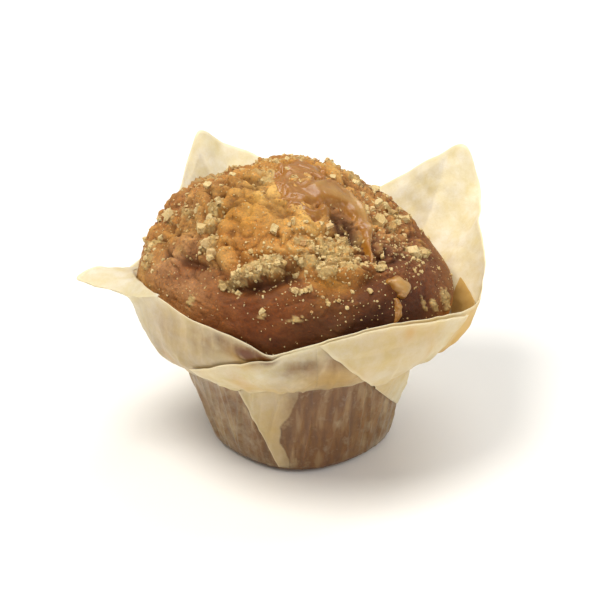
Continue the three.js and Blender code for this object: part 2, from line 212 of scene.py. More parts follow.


# %% [markdown]
# ## Finishing a mesh
#
# Each piece is built in a bmesh in millimetres. This step turns it into an object in metres, gives
# it its finish, hangs it under the root, and hides the part of the solid model that it stands for.


# %% Finish a piece
def finish_piece(bm, name, material, stands_for, rounded=True):
    bmesh.ops.scale(bm, vec=(MM, MM, MM), verts=bm.verts)
    mesh = bpy.data.meshes.new(name)
    bm.to_mesh(mesh)
    bm.free()
    if rounded:
        mesh.shade_smooth()
    mesh.materials.append(material)
    piece = bpy.data.objects.new(name, mesh)
    bpy.context.collection.objects.link(piece)
    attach(piece, "root")
    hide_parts(stands_for)
    print(name, "faces:", len(mesh.polygons))
    return piece


def apply_modifiers(piece):
    shown = piece.evaluated_get(bpy.context.evaluated_depsgraph_get())
    mesh = bpy.data.meshes.new_from_object(shown)
    old = piece.data
    piece.modifiers.clear()
    piece.data = mesh
    bpy.data.meshes.remove(old)
    mesh.name = piece.name
    print(piece.name, "faces after its modifiers:", len(mesh.polygons))


# %% [markdown]
# ## The form of the cake
#
# Below the tin's rim the cake is a tapered plug. Above it the batter flowed outwards to a ring, and
# then rose to a dome. The dome is an ellipsoid with listed swellings and hollows, each with a place,
# a height and a width. These are the driving sizes of the solid model.

# %% Sizes of the cup and the ring, in mm and degrees
BASE_RADIUS = 25.4
BASE_SQUARE = 0.8
BASE_CORNER = 272
BASE_LEAN = 1.9
BASE_LEAN_TO = 355
BASE_FILLET = 2.8
CREASE_RADIUS = 32.6
CREASE_HEIGHT = 29
CREASE_RISE = 3
CREASE_HIGH = 295
RING_RADIUS = 46.5
RING_HEIGHT = 48
DOME_RISE = 35.5
SHELF = 0.73
PAPER_GAP = 0.65  # between the cake and the paper's inner face


def crease_height(angle):
    return CREASE_HEIGHT + CREASE_RISE * math.cos((angle - CREASE_HIGH) * RADIANS)


def base_radius(angle):
    square = BASE_SQUARE * math.cos(4 * (angle - BASE_CORNER) * RADIANS)
    return BASE_RADIUS + square + BASE_LEAN * math.cos((angle - BASE_LEAN_TO) * RADIANS)


def cup_radius(angle, z):
    return lerp(base_radius(angle), CREASE_RADIUS, clamp(z / crease_height(angle)))


def overhang_radius(angle, z):
    low = crease_height(angle)
    share = clamp((z - low) / (RING_HEIGHT - low))
    cup = CREASE_RADIUS - PAPER_GAP
    return cup + (RING_RADIUS - cup) * math.sin(share * math.pi / 2) ** SHELF


# %% Swellings and hollows of the dome: angle, rise, height, width
LUMPS = [
    (8, 44, -8.2, 34),
    (335, 62, -2.2, 22),
    (192, 60, 2.6, 11),
    (205, 46, -1.6, 9),
    (178, 42, -1.8, 16),
    (222, 34, -1.8, 8),
    (240, 62, 2.2, 17),
    (100, 76, 1.4, 13),
    (255, 15, 1.3, 22),
    (300, 24, 2.0, 18),
    (306, 51, -3.0, 11),
    (40, 25, 1.5, 16),
    (95, 40, 1.8, 15),
    (130, 58, -1.8, 13),
    (150, 30, 1.6, 14),
]
LUMP_WAYS = [(direction(a, r), height, width) for a, r, height, width in LUMPS]
SPLIT_FROM = 236
SPLIT_TO = 318
SPLIT_RISE = 34
SPLIT_DEPTH = 2.2
SPLIT_WIDTH = 4
SPLIT_WAVE = 4  # how far the split wanders up and down
SPLIT_FADE = 8  # it dies out over this much on both sides of its ends


def relief(angle, rise, here):
    """How far the dome's skin stands out of the ellipsoid, as in the solid model."""
    out = 0.0
    for way, height, width in LUMP_WAYS:
        away = math.acos(clamp(here.dot(way), -1, 1)) / RADIANS
        if away < 2.5 * width:
            out += height * swell(away, width)
    along = smooth(SPLIT_FROM - SPLIT_FADE, SPLIT_FROM + SPLIT_FADE, angle)
    along *= 1 - smooth(SPLIT_TO - SPLIT_FADE, SPLIT_TO + SPLIT_FADE, angle)
    line = SPLIT_RISE + SPLIT_WAVE * math.sin(angle * 7 * RADIANS)
    out -= SPLIT_DEPTH * along * swell(rise - line, SPLIT_WIDTH)
    x, y, z = here
    rough = 0.35 + 0.45 * smooth(25, 45, rise)
    out += rough * math.sin(11 * x + 2) * math.sin(9 * y + 1) * math.sin(10 * z)
    out += 0.6 * rough * math.sin(23 * x) * math.sin(21 * y + 2) * math.sin(19 * z + 1)
    return out * smooth(-2, 14, rise)


# %% [markdown]
# ## What the oven did to the skin
#
# Close up the cap is not smooth. The crown is craggy, with cracks between set pieces of crust. The
# front roll stayed smooth, with a fine leathery grain. A few creases are large enough to be placed
# one by one: each is a line on the dome with a depth and a width. Noise in the mesh makes the rest,
# and its strength follows how rough the real skin is there.

# %% Creases and ridges: height, width in mm, then stops of angle and rise
CREASES = [
    (-1.7, 1.7, [(242, 29), (250, 30), (259, 32), (267, 36), (272, 43)]),
    (1.0, 2.4, [(284, 37), (297, 37), (306, 36), (314, 32)]),
    (-1.2, 1.3, [(281, 41), (296, 41), (308, 40), (318, 37)]),
    (-1.3, 1.3, [(214, 68), (219, 58), (222, 48), (230, 41), (236, 36)]),
    (-1.1, 1.5, [(208, 36), (216, 34), (226, 35), (233, 37)]),
    (-1.2, 1.2, [(186, 63), (194, 66), (203, 69), (208, 74)]),
    (-0.9, 1.1, [(192, 52), (199, 50), (207, 52), (214, 56)]),
    (0.9, 2.0, [(196, 44), (205, 41), (214, 42)]),
    (0.8, 1.6, [(228, 70), (243, 71), (258, 70)]),
    (-0.8, 1.0, [(226, 66), (240, 67), (256, 66), (268, 62)]),
    (-1.4, 2.0, [(313, 47), (318, 42), (318, 36)]),
    (-2.6, 2.3, [(313, 66), (317, 62), (316, 57), (315, 52)]),
    (-1.6, 1.4, [(17, 80), (33, 81)]),
    (-1.5, 1.3, [(172, 70), (186, 72), (196, 77), (190, 82)]),
    (-1.4, 1.3, [(160, 64), (172, 62), (184, 65), (190, 70)]),
    (1.0, 1.8, [(165, 67), (178, 67), (188, 70)]),
    (-1.2, 1.2, [(176, 55), (186, 58), (196, 60), (205, 62)]),
    (-1.0, 1.1, [(183, 35), (192, 38), (199, 40)]),
    (-1.0, 1.5, [(186, 30), (196, 32), (206, 30)]),
    (-1.1, 1.6, [(180, 48), (190, 46), (199, 42)]),
    (0.9, 2.2, [(184, 55), (194, 53), (204, 50)]),
    (-0.8, 1.1, [(214, 63), (226, 62), (238, 60), (250, 60)]),
    (-1.0, 1.4, [(336, 41), (345, 39), (354, 40)]),
    (-1.2, 1.5, [(330, 57), (340, 54), (350, 55)]),
    (-1.2, 1.4, [(40, 62), (58, 57), (74, 60), (90, 55)]),
    (-1.1, 1.3, [(110, 44), (124, 40), (140, 43), (152, 40)]),
    (-1.0, 1.3, [(20, 36), (34, 40), (52, 37)]),
    (-1.2, 1.4, [(100, 30), (84, 33), (70, 31)]),
    (-1.0, 1.2, [(150, 66), (168, 60), (178, 64)]),
]
SKIN_RADIUS = 42  # a ball of this size carries the patterns, so that they have sizes in mm


def crease_segments():
    parts = []
    for height, width, stops in CREASES:
        ways = [direction(a, r) * SKIN_RADIUS for a, r in stops]
        for start, end in zip(ways, ways[1:]):
            middle = (start + end) / 2
            reach = (end - start).length / 2 + 3 * width
            parts.append((start, end - start, middle, reach, height, width))
    return parts


CREASE_PARTS = crease_segments()


def crease_depth(spot):
    """The deepest of the hand-placed creases at a point of the skin, or the highest ridge."""
    low = high = 0.0
    for start, way, middle, reach, height, width in CREASE_PARTS:
        if (spot - middle).length < reach:
            share = clamp((spot - start).dot(way) / way.length_squared)
            out = height * swell((spot - start - way * share).length, width)
            low, high = min(low, out), max(high, out)
    return low + high


# %% Noise of the skin
def roughness_at(angle, rise):
    """1 on the craggy crown, and little on the smooth roll in front."""
    front = swell(turned(angle, 272), 62)
    edge = lerp(22, 38, front)
    mound = swell(turned(angle, 240), 20) * swell(rise - 61, 12)
    return lerp(0.25, 1.0, smooth(edge - 6, edge + 6, rise)) * (1 - 0.6 * mound)


def skin_noise(angle, rise, here):
    rough = roughness_at(angle, rise)
    spot = here * SKIN_RADIUS
    wander = spot + 1.8 * noise_way(spot / 4)
    # cracks run between plates of crust that are about 7 mm across
    cells = noise.voronoi(wander / 7)[0]
    crack = swell(cells[1] - cells[0], 0.1)
    # swellings of 7 mm and crags of 3 mm, and knobs of under 2 mm that only stand out
    out = 1.25 * noise.noise(spot / 7 + Vector((3, 1, 7)))
    out += 1.15 * noise.noise(wander / 3.1 + Vector((9, 4, 2)))
    out -= 1.15 * crack
    out += 0.75 * abs(noise.noise(wander / 1.7))
    # the leathery grain that the smooth roll has as well
    fine = 0.2 * noise.noise(spot / 0.95) + 0.25 * noise.noise(spot / 3.6)
    return out * rough + fine


# %% [markdown]
# In places the crumble melted into the crust instead of lying on it. There the skin itself is
# raised and grainy. Each patch has a place, a spread along and across, a turn and a strength, and
# noise frays its edge.

# %% Crumble that melted in: angle, rise, spread along and across in mm, turn in degrees, strength
PATCHES = [
    (241, 30.5, 2.6, 1.9, 30, 1.1),
    (246, 34.0, 2.8, 2.2, 35, 1.3),
    (251, 38.0, 3.2, 2.5, 30, 1.4),
    (256.5, 40.5, 3.4, 2.6, 20, 1.4),
    (261.5, 42.0, 3.0, 2.6, 10, 1.3),
    (278, 44, 3.6, 2.4, -30, 0.95),
    (284, 40, 3.4, 3.6, 0, 1.15),
    (290, 45, 3.6, 3.4, 20, 1.1),
    (283, 49, 3.6, 2.2, 0, 0.95),
    (297, 42, 3.4, 3.8, -20, 1.1),
    (300, 49, 3.6, 3.2, 20, 1.0),
    (291, 53, 4.2, 2.2, 0, 0.9),
    (305, 54, 2.2, 2.4, 0, 0.85),
    (275, 52, 3.4, 2.0, 0, 0.85),
    (272, 31, 2.8, 1.0, 0, 1.1),
    (259, 20, 1.8, 1.2, 20, 0.75),
    (270, 19.5, 3.0, 1.5, 0, 0.6),
    (224, 44.5, 2.0, 3.6, -15, 1.15),
    (216, 51, 2.0, 3.2, -10, 1.05),
    (209, 57, 1.8, 3.4, -10, 1.05),
    (187, 82, 4.0, 3.4, 0, 0.9),
    (165, 78, 3.4, 3.0, 0, 0.85),
    (177, 37, 2.2, 2.6, 0, 1.0),
    (187, 26, 2.2, 3.2, 0, 1.1),
    (194, 21, 2.0, 3.6, 0, 1.05),
    (185, 47, 3.0, 2.2, 0, 0.9),
    (229, 20.5, 1.7, 2.6, 0, 0.85),
    (349, 31, 4.4, 2.8, -30, 1.2),
    (354, 25, 3.0, 2.2, -20, 1.1),
    (313, 36, 2.8, 1.4, 0, 1.05),
    (359, 52.5, 2.2, 2.4, 0, 1.2),
    (24, 36, 5.0, 1.8, -40, 1.15),
    (27, 47, 4.0, 2.0, -30, 1.0),
    (5, 44, 3.4, 2.2, -20, 0.85),
    (324.5, 11.5, 0.9, 3.6, 0, 1.2),
    (330, 8, 1.5, 2.8, 0, 1.2),
    (341, 5.5, 3.2, 4.2, 0, 1.3),
    (60, 48, 9.0, 5.0, 20, 0.85),
    (100, 62, 7.0, 5.0, 0, 0.85),
    (130, 42, 8.0, 5.0, -20, 0.85),
    (140, 24, 4.0, 3.0, 0, 1.0),
    (80, 26, 5.0, 3.0, 0, 1.0),
]


def patch_frames():
    frames = []
    for angle, rise, along, across, turn, strength in PATCHES:
        way = direction(angle, rise)
        side = direction(angle + 90, 0)
        up = way.cross(side)
        cos, sin = math.cos(turn * RADIANS), math.sin(turn * RADIANS)
        frames.append((way, (side * cos + up * sin) / along, (up * cos - side * sin) / across, strength))
    return frames


PATCH_FRAMES = patch_frames()
PATCH_NEAR = 0.9  # the cosine of the turn beyond which a patch isn't looked at
PATCH_FAINT = 0.12  # below this there is no cover, whatever the noise


def crumble_cover(here):
    """How far the skin is covered by melted-in crumble, from 0 to 1."""
    spot = here * SKIN_RADIUS
    most = 0.0
    for way, side, up, strength in PATCH_FRAMES:
        if here.dot(way) > PATCH_NEAR:
            away = math.hypot(spot.dot(side), spot.dot(up))
            most = max(most, strength * swell(away, 1))
    if most < PATCH_FAINT:
        return 0.0
    frayed = most + 0.4 * noise.noise(spot / 1.7) + 0.34 * noise.noise(spot / 0.8 + Vector((4, 4, 4)))
    return smooth(0.42, 0.6, frayed)


def cover_height(here, cover):
    spot = here * SKIN_RADIUS
    grains = noise.voronoi(spot / 1.5)[0][0]
    return cover * (1.0 - 0.8 * grains + 0.5 * noise.noise(spot / 0.9) + 0.4 * noise.noise(spot / 2.6))


def on_dome(angle, rise, lift=0.0, fine=True):
    """A point of the skin, raised by lift along the way out of the cake."""
    here = direction(angle, rise)
    out = relief(angle % 360, rise, here) + lift
    if fine:
        settle = smooth(4, 16, rise)
        out += (skin_noise(angle, rise, here) + crease_depth(here * SKIN_RADIUS)) * settle
        cover = crumble_cover(here)
        if cover:
            out += cover_height(here, cover)
    r = RING_RADIUS * math.cos(rise * RADIANS)
    z = RING_HEIGHT + DOME_RISE * math.sin(rise * RADIANS)
    way = Vector((r / RING_RADIUS**2, 0, (z - RING_HEIGHT) / DOME_RISE**2)).normalized()
    return ring_point(angle, r + way.x * out, z + way.z * out)


# %% [markdown]
# ## The colour of the crust
#
# Crust is brown where it stood up into the hot air and stays golden where it tore open late. The
# colours are put on like a glaze: one brown all over, then soft spots of darker and lighter tones,
# each with a place and a spread. Some dark spots are painted shade, along the split, in creases of
# the crown and under the caramel, and the creases are painted darker as shade and the crests lighter
# as a painted highlight. They are stored on the mesh, so the pattern stays with the skin.

# %% Tones of the crust
# the darkest tone is both dark crust and painted shade in hollows, and the honey tone is both golden crust
# and the painted highlight on crests
TONES = {
    "crust": "#ab773e",
    "russet": "#7c431c",
    "dark_crust_and_shade": "#351302",
    "gold": "#c4903e",
    "amber": "#b57c39",
    "plum": "#6d3e24",
    "honey_and_highlight": "#dab065",
    "rose": "#b88d65",
    "crumble": "#c2a971",
}
# tone, angle, rise, spread in degrees, strength
SPOTS = [
    ("russet", 262, 14, 24, 0.95),
    ("russet", 250, 18, 22, 0.7),
    ("russet", 215, 26, 14, 0.35),
    ("russet", 300, 22, 16, 0.8),
    ("rose", 206, 40, 12, 0.6),
    ("rose", 206, 22, 12, 0.6),
    ("rose", 228, 25, 10, 0.4),
    ("russet", 322, 22, 18, 0.85),
    ("dark_crust_and_shade", 254, 0, 16, 0.55),
    ("dark_crust_and_shade", 276, 4, 17, 0.65),
    ("dark_crust_and_shade", 292, 12, 14, 0.6),
    ("dark_crust_and_shade", 302, 6, 20, 1.0),
    ("dark_crust_and_shade", 318, 10, 18, 0.8),
    # painted shade along the split in front
    ("dark_crust_and_shade", 256, 33, 5, 0.75),
    ("dark_crust_and_shade", 266, 37, 4, 0.75),
    ("dark_crust_and_shade", 250, 30, 3, 0.6),
    ("plum", 345, 22, 24, 0.9),
    ("plum", 10, 24, 24, 0.7),
    ("plum", 318, 44, 9, 0.85),
    ("plum", 331, 46, 8, 0.8),
    # painted shade in the hollow under the caramel's hood, and in the hole in the caramel
    ("dark_crust_and_shade", 317, 61, 6, 0.95),
    ("dark_crust_and_shade", 315, 55, 5, 0.9),
    ("dark_crust_and_shade", 324, 43, 4, 0.6),
    ("dark_crust_and_shade", 25, 80.7, 3.5, 0.95),
    ("gold", 232, 62, 15, 0.9),
    ("gold", 252, 60, 12, 0.9),
    ("amber", 266, 64, 8, 0.7),
    ("amber", 245, 50, 11, 0.8),
    ("honey_and_highlight", 274, 58, 9, 0.9),
    ("amber", 276, 52, 9, 0.6),
    ("honey_and_highlight", 290, 50, 9, 0.5),
    ("gold", 214, 72, 12, 0.9),
    ("honey_and_highlight", 212, 79, 10, 0.95),
    ("rose", 25, 76, 16, 0.7),
    ("rose", 352, 50, 13, 0.8),
    ("rose", 150, 55, 18, 0.5),
    ("rose", 70, 50, 18, 0.5),
    ("amber", 180, 68, 9, 0.8),
    # painted shade in a crease of the crown
    ("dark_crust_and_shade", 186, 72, 4, 0.5),
    ("honey_and_highlight", 200, 47, 7, 0.5),
    ("gold", 192, 37, 9, 0.6),
    ("russet", 221, 34.5, 6, 0.8),
    # painted shade in a crease of the crown
    ("dark_crust_and_shade", 192, 60, 3, 0.5),
    ("amber", 294, 37, 7, 0.8),
    ("gold", 284, 34, 5, 0.6),
    ("amber", 350, 52, 9, 0.8),
    ("amber", 8, 42, 9, 0.6),
    ("honey_and_highlight", 245, 76, 9, 0.7),
    ("honey_and_highlight", 190, 16, 8, 0.4),
    ("gold", 200, 8, 12, 0.4),
    ("gold", 60, 66, 20, 0.7),
    ("gold", 120, 68, 18, 0.7),
    ("amber", 90, 50, 16, 0.6),
    ("russet", 60, 24, 26, 0.7),
    ("russet", 130, 26, 26, 0.7),
    ("amber", 150, 50, 14, 0.5),
]
TONE_COLOURS = {name: Vector(linear(code)[:3]) for name, code in TONES.items()}
SPOT_WAYS = [(TONE_COLOURS[t], direction(a, r), spread, s) for t, a, r, spread, s in SPOTS]


def crust_colour(angle, rise, here):
    """The stored colour of the skin at a place."""
    spot = here * SKIN_RADIUS
    drift = (here + 0.09 * noise_way(spot / 5)).normalized()
    colour = TONE_COLOURS["crust"].copy()
    for tone, way, spread, strength in SPOT_WAYS:
        away = math.acos(clamp(drift.dot(way), -1, 1)) / RADIANS
        if away < 2.2 * spread:
            colour = colour.lerp(tone, strength * swell(away, spread))
    rough = roughness_at(angle, rise)
    skin = skin_noise(angle, rise, here)
    # painted shade: darker in the creases and hollows of the skin
    groove_shade = clamp(-crease_depth(spot) * 0.6) + 0.6 * clamp(-skin - 0.1)
    colour = colour.lerp(TONE_COLOURS["dark_crust_and_shade"], clamp(groove_shade) * 0.6)
    # painted highlight: lighter on the crests of the skin
    crest_highlight = clamp(skin * 0.7) * rough
    colour = colour.lerp(TONE_COLOURS["honey_and_highlight"], 0.5 * crest_highlight)
    cover = crumble_cover(here)
    speckle = 0.8 + 0.5 * noise.noise(spot / 0.8)
    return colour.lerp(TONE_COLOURS["crumble"], clamp(cover * speckle))


# %% [markdown]
# ## The cake's mesh
#
# A spun profile would crowd its faces at the top of the dome, where the muffin shows most. A cube
# that is cut finely and blown up to a ball has even faces all over. Each point of the ball is then
# moved to the cake: the upper part of the ball becomes the dome, and the lower part the plug that
# the paper hides.

# %% Build the cake
CUBE_CUTS = 116
DOME_FROM = -36  # the ball's latitude where the dome starts


def plug_point(angle, depth):
    """The hidden part of the cake, from the ring (0) down to the middle of the base (1)."""
    top, rim, foot = 0.0, 0.4, 0.8
    low = crease_height(angle)
    if depth < rim:
        z = lerp(RING_HEIGHT, low, depth / rim)
        return ring_point(angle, overhang_radius(angle, z), z)
    if depth < foot:
        z = lerp(low, BASE_FILLET, (depth - rim) / (foot - rim))
        return ring_point(angle, cup_radius(angle, z) - PAPER_GAP, z)
    share = (1 - depth) / (1 - foot)
    flat = base_radius(angle) - PAPER_GAP
    z = lerp(1.25, BASE_FILLET, smooth(0.75, 1, share))
    return ring_point(angle, flat * share, z)


def build_cake():
    bm = bmesh.new()
    bmesh.ops.create_cube(bm, size=2)
    bmesh.ops.subdivide_edges(bm, edges=bm.edges, cuts=CUBE_CUTS, use_grid_fill=True)
    colours = bm.verts.layers.float_color.new("crust")
    for vert in bm.verts:
        even = Vector([math.tan(c * math.pi / 4) for c in vert.co]).normalized()
        angle = math.degrees(math.atan2(even.y, even.x)) % 360
        latitude = math.degrees(math.asin(clamp(even.z, -1, 1)))
        if latitude >= DOME_FROM:
            rise = 90 * (latitude - DOME_FROM) / (90 - DOME_FROM)
            vert.co = on_dome(angle, rise)
            vert[colours] = (*crust_colour(angle, rise, direction(angle, rise)), 1)
        else:
            vert.co = plug_point(angle, (DOME_FROM - latitude) / (90 + DOME_FROM))
            vert[colours] = (*TONE_COLOURS["crust"], 1)
    bmesh.ops.recalc_face_normals(bm, faces=bm.faces)
    return bm


# %% [markdown]
# ## Baked crust
#
# Crust is dry starch and browned sugar: matt, with a faint shine on the smooth roll where butter
# came up. Its index of refraction is that of starch, about 1.5. The grain is drawn 0.6 mm wide and
# the pores 1.6 mm, both coarser than real so that they show, and they break up the stored colour.


# %% Crust material
def crust_material():
    material, tree = new_material("baked_crust")
    stored = node(tree, "ShaderNodeAttribute", attribute_name="crust").outputs["Color"]
    place = node(tree, "ShaderNodeTexCoord").outputs["Object"]
    patches = node(tree, "ShaderNodeTexNoise", {"Vector": place, "Scale": per(5), "Detail": 3})
    pores = {"Vector": place, "Scale": per(1.6), "Detail": 4, "Roughness": 0.6}
    pores = node(tree, "ShaderNodeTexNoise", pores)
    dust = {"Vector": place, "Scale": per(0.6), "Detail": 3, "Roughness": 0.6}
    dust = node(tree, "ShaderNodeTexNoise", dust)
    shaded = node(tree, "ShaderNodeMapRange", [patches, 0.35, 0.65, 0.0, 0.4])
    pitted = node(tree, "ShaderNodeMapRange", [pores, 0.44, 0.30, 0.0, 0.6])
    pale = node(tree, "ShaderNodeMapRange", [dust, 0.54, 0.68, 0.0, 0.55])
    dark = node(tree, "ShaderNodeMapRange", [dust, 0.44, 0.28, 0.0, 0.4])
    colour = {0: shaded, 6: stored, 7: linear("#996a3e")}
    colour = node(tree, "ShaderNodeMix", colour, data_type="RGBA", blend_type="MULTIPLY")
    colour = node(tree, "ShaderNodeMix", {0: pitted, 6: colour, 7: linear("#4d260f")}, data_type="RGBA")
    lighter = {0: pale, 6: colour, 7: linear("#f6dca8")}
    colour = node(tree, "ShaderNodeMix", lighter, data_type="RGBA", blend_type="OVERLAY")
    colour = node(tree, "ShaderNodeMix", {0: dark, 6: colour, 7: linear("#43200c")}, data_type="RGBA")
    normal = node(tree, "ShaderNodeBump", {"Height": pores, "Distance": 0.6 * MM, "Strength": 0.8})
    normal = {"Height": dust, "Distance": 0.18 * MM, "Strength": 0.8, "Normal": normal}
    normal = node(tree, "ShaderNodeBump", normal)
    dull = node(tree, "ShaderNodeMapRange", [dust, 0.3, 0.7, 0.5, 0.72])
    crust = {"Base Color": colour, "Normal": normal, "Roughness": dull, "IOR": 1.5}
    crust |= {"Specular IOR Level": 0.2, "Subsurface Weight": 0.08, "Subsurface Scale": 1.0 * MM}
    crust |= {"Subsurface Radius": (1.0, 0.5, 0.25)}
    surface = node(tree, "ShaderNodeBsdfPrincipled", crust)
    node(tree, "ShaderNodeOutputMaterial", {"Surface": surface}, is_active_output=True)
    return material


finish_piece(build_cake(), "cake_cap", crust_material(), "cake")


# %% [markdown]
# ## The crumble
#
# Crumble is rubbed butter, flour and sugar, so its pieces are soft blocks that break into smaller
# and smaller ones, down to dust. A lump starts as a cube of few faces that is rounded, squashed,
# turned and roughened. The larger lumps that show are placed one by one. The rest is strewn by a
# seeded draw, thick in the middle of the crown and thin on the smooth roll.

# %% Crumble placed one by one: angle, rise, size across in mm
CRUMBLE_SHOWN = [
    (258.3, 55.3, 3.2),
    (176.2, 37.8, 3.0),
    (209, 54, 3.0),
    (215, 47.7, 2.8),
    (223.8, 43.5, 2.6),
    (227, 41, 3.2),
    (229.6, 39, 2.4),
    (211, 59, 2.2),
    (187.4, 25.6, 2.8),
    (191, 22, 2.2),
    (185, 31, 1.8),
    (240, 29, 2.0),
    (244, 35, 2.0),
    (252, 41, 2.4),
    (258, 44, 2.6),
    (263, 44, 2.2),
    (247, 28, 1.6),
    (270, 31, 2.0),
    (273, 30.5, 1.6),
    (276, 31.5, 1.8),
    (258.5, 22, 1.8),
    (269, 60, 1.8),
    (297, 61, 2.2),
    (301, 57, 1.8),
    (273, 44, 2.0),
    (284, 38, 2.2),
    (292, 40, 2.4),
    (279, 49, 1.8),
    (310, 36, 2.2),
    (315, 35.5, 2.6),
    (318.5, 38, 2.0),
    (344, 32, 3.4),
    (351, 27, 2.6),
    (347, 29, 2.2),
    (358.6, 52.5, 3.6),
    (26.9, 37, 2.6),
    (21.3, 33, 2.4),
    (26.2, 47.8, 2.6),
    (12, 40, 2.0),
    (338, 40, 1.6),
    (300, 27, 1.6),
    (293, 28.5, 1.4),
]
# angle, rise, spread in degrees, count, smallest and largest in mm
CRUMBLE_DRIFTS = [
    (243, 31.5, 2.6, 12, 0.6, 1.5),
    (249, 36, 2.8, 16, 0.6, 1.6),
    (256, 40, 3.0, 18, 0.6, 1.6),
    (262, 43, 2.8, 14, 0.6, 1.6),
    (222, 46, 3.6, 16, 0.5, 1.6),
    (208, 57, 4.0, 18, 0.5, 1.5),
    (190, 25, 5.0, 20, 0.5, 1.4),
    (182, 42, 7.0, 34, 0.4, 1.4),
    (283, 42, 6.0, 46, 0.4, 1.7),
    (294, 46, 7.0, 54, 0.4, 1.6),
    (300, 52, 6.0, 34, 0.4, 1.5),
    (276, 50, 6.0, 30, 0.4, 1.4),
    (256, 47, 6.0, 34, 0.4, 1.2),
    (312, 37, 4.0, 26, 0.5, 1.5),
    (330, 40, 8.0, 40, 0.4, 1.4),
    (347, 30, 5.0, 40, 0.5, 1.6),
    (0, 48, 9.0, 44, 0.5, 1.7),
    (24, 40, 8.0, 44, 0.5, 1.8),
    (272, 30, 2.4, 12, 0.4, 1.2),
    (60, 44, 18.0, 90, 0.5, 2.2),
    (100, 50, 17.0, 70, 0.5, 2.2),
    (140, 42, 17.0, 80, 0.5, 2.2),
    (85, 30, 20.0, 50, 0.5, 2.0),
]
# the same for the dust, which lies thinly on the smooth front
CRUMBLE_DUST = [
    (268, 26, 12.0, 70, 0.25, 0.6),
    (300, 26, 10.0, 70, 0.25, 0.6),
    (285, 42, 12.0, 180, 0.25, 0.7),
    (250, 44, 12.0, 110, 0.25, 0.7),
    (216, 28, 12.0, 80, 0.25, 0.6),
    (332, 36, 14.0, 160, 0.25, 0.7),
    (345, 18, 14.0, 60, 0.25, 0.6),
    (188, 42, 14.0, 120, 0.25, 0.7),
    (262, 10, 16.0, 30, 0.25, 0.6),
    (60, 45, 34.0, 300, 0.3, 0.8),
    (130, 45, 34.0, 300, 0.3, 0.8),
]


# %% Strew the crumble
LUMP_KINDS = 12


def lump_shapes(seed, cuts):
    """A few rough lumps, as arrays: the corners of each, and the faces that all of them share."""
    draw = random.Random(seed)
    shapes = []
    for _ in range(LUMP_KINDS):
        bm = bmesh.new()
        bmesh.ops.create_cube(bm, size=1.7)
        if cuts:
            bmesh.ops.subdivide_edges(bm, edges=bm.edges, cuts=cuts, use_grid_fill=True)
        shift = Vector((draw.uniform(0, 99), 0, 0))
        for vert in bm.verts:
            vert.co = vert.co.lerp(vert.co.normalized(), 0.4)
            vert.co += 0.55 * noise_way(vert.co * 0.9 + shift)
            vert.co += 0.3 * noise_way(vert.co * 2.1 + shift)
        shapes.append(np.array([vert.co[:] for vert in bm.verts]))
        faces = np.array([[vert.index for vert in face.verts] for face in bm.faces])
        bm.free()
    return shapes, faces


def strewn(draw, drifts):
    for angle, rise, spread, count, small, large in drifts:
        for _ in range(count):
            at = clamp(rise + draw.gauss(0, spread), 3, 89)
            turn = angle + draw.gauss(0, spread) / max(0.25, math.cos(at * RADIANS))
            yield turn, at, lerp(small, large, draw.random() ** 2.5)


def build_crumble(seed, by_hand, drifts, cuts):
    draw = random.Random(seed)
    shapes, faces = lump_shapes(seed, cuts)
    corners, tones, all_faces = [], [], []
    for angle, rise, size in [*by_hand, *strewn(draw, drifts)]:
        squash = Matrix.Diagonal([0.5 * size * draw.uniform(0.65, 1.3) for _ in range(3)])
        turn = Matrix.Rotation(draw.uniform(0, 2 * math.pi), 3, "X")
        turn = Matrix.Rotation(draw.uniform(0, 2 * math.pi), 3, "Z") @ turn
        shape = draw.choice(shapes)
        all_faces.append(faces + len(shape) * len(corners))
        spot = on_dome(angle, rise, 0)  # its middle is in the skin, so that half of it shows
        corners.append(shape @ np.array(turn @ squash).T + np.array(spot))
        tones.append(np.full(len(shape), draw.random()))
    mesh = bpy.data.meshes.new("joined_lumps")
    mesh.from_pydata(np.concatenate(corners), [], np.concatenate(all_faces))
    mesh.attributes.new("tone", "FLOAT", "POINT").data.foreach_set("value", np.concatenate(tones))
    bm = bmesh.new()
    bm.from_mesh(mesh)
    bpy.data.meshes.remove(mesh)
    return bm


# %% [markdown]
# ## Baked crumble
#
# It is paler than the crust and hardly browned: cream, with a green-grey cast in the shade and a
# toasted edge here and there. It is dry and dull, and a little light sinks into it.


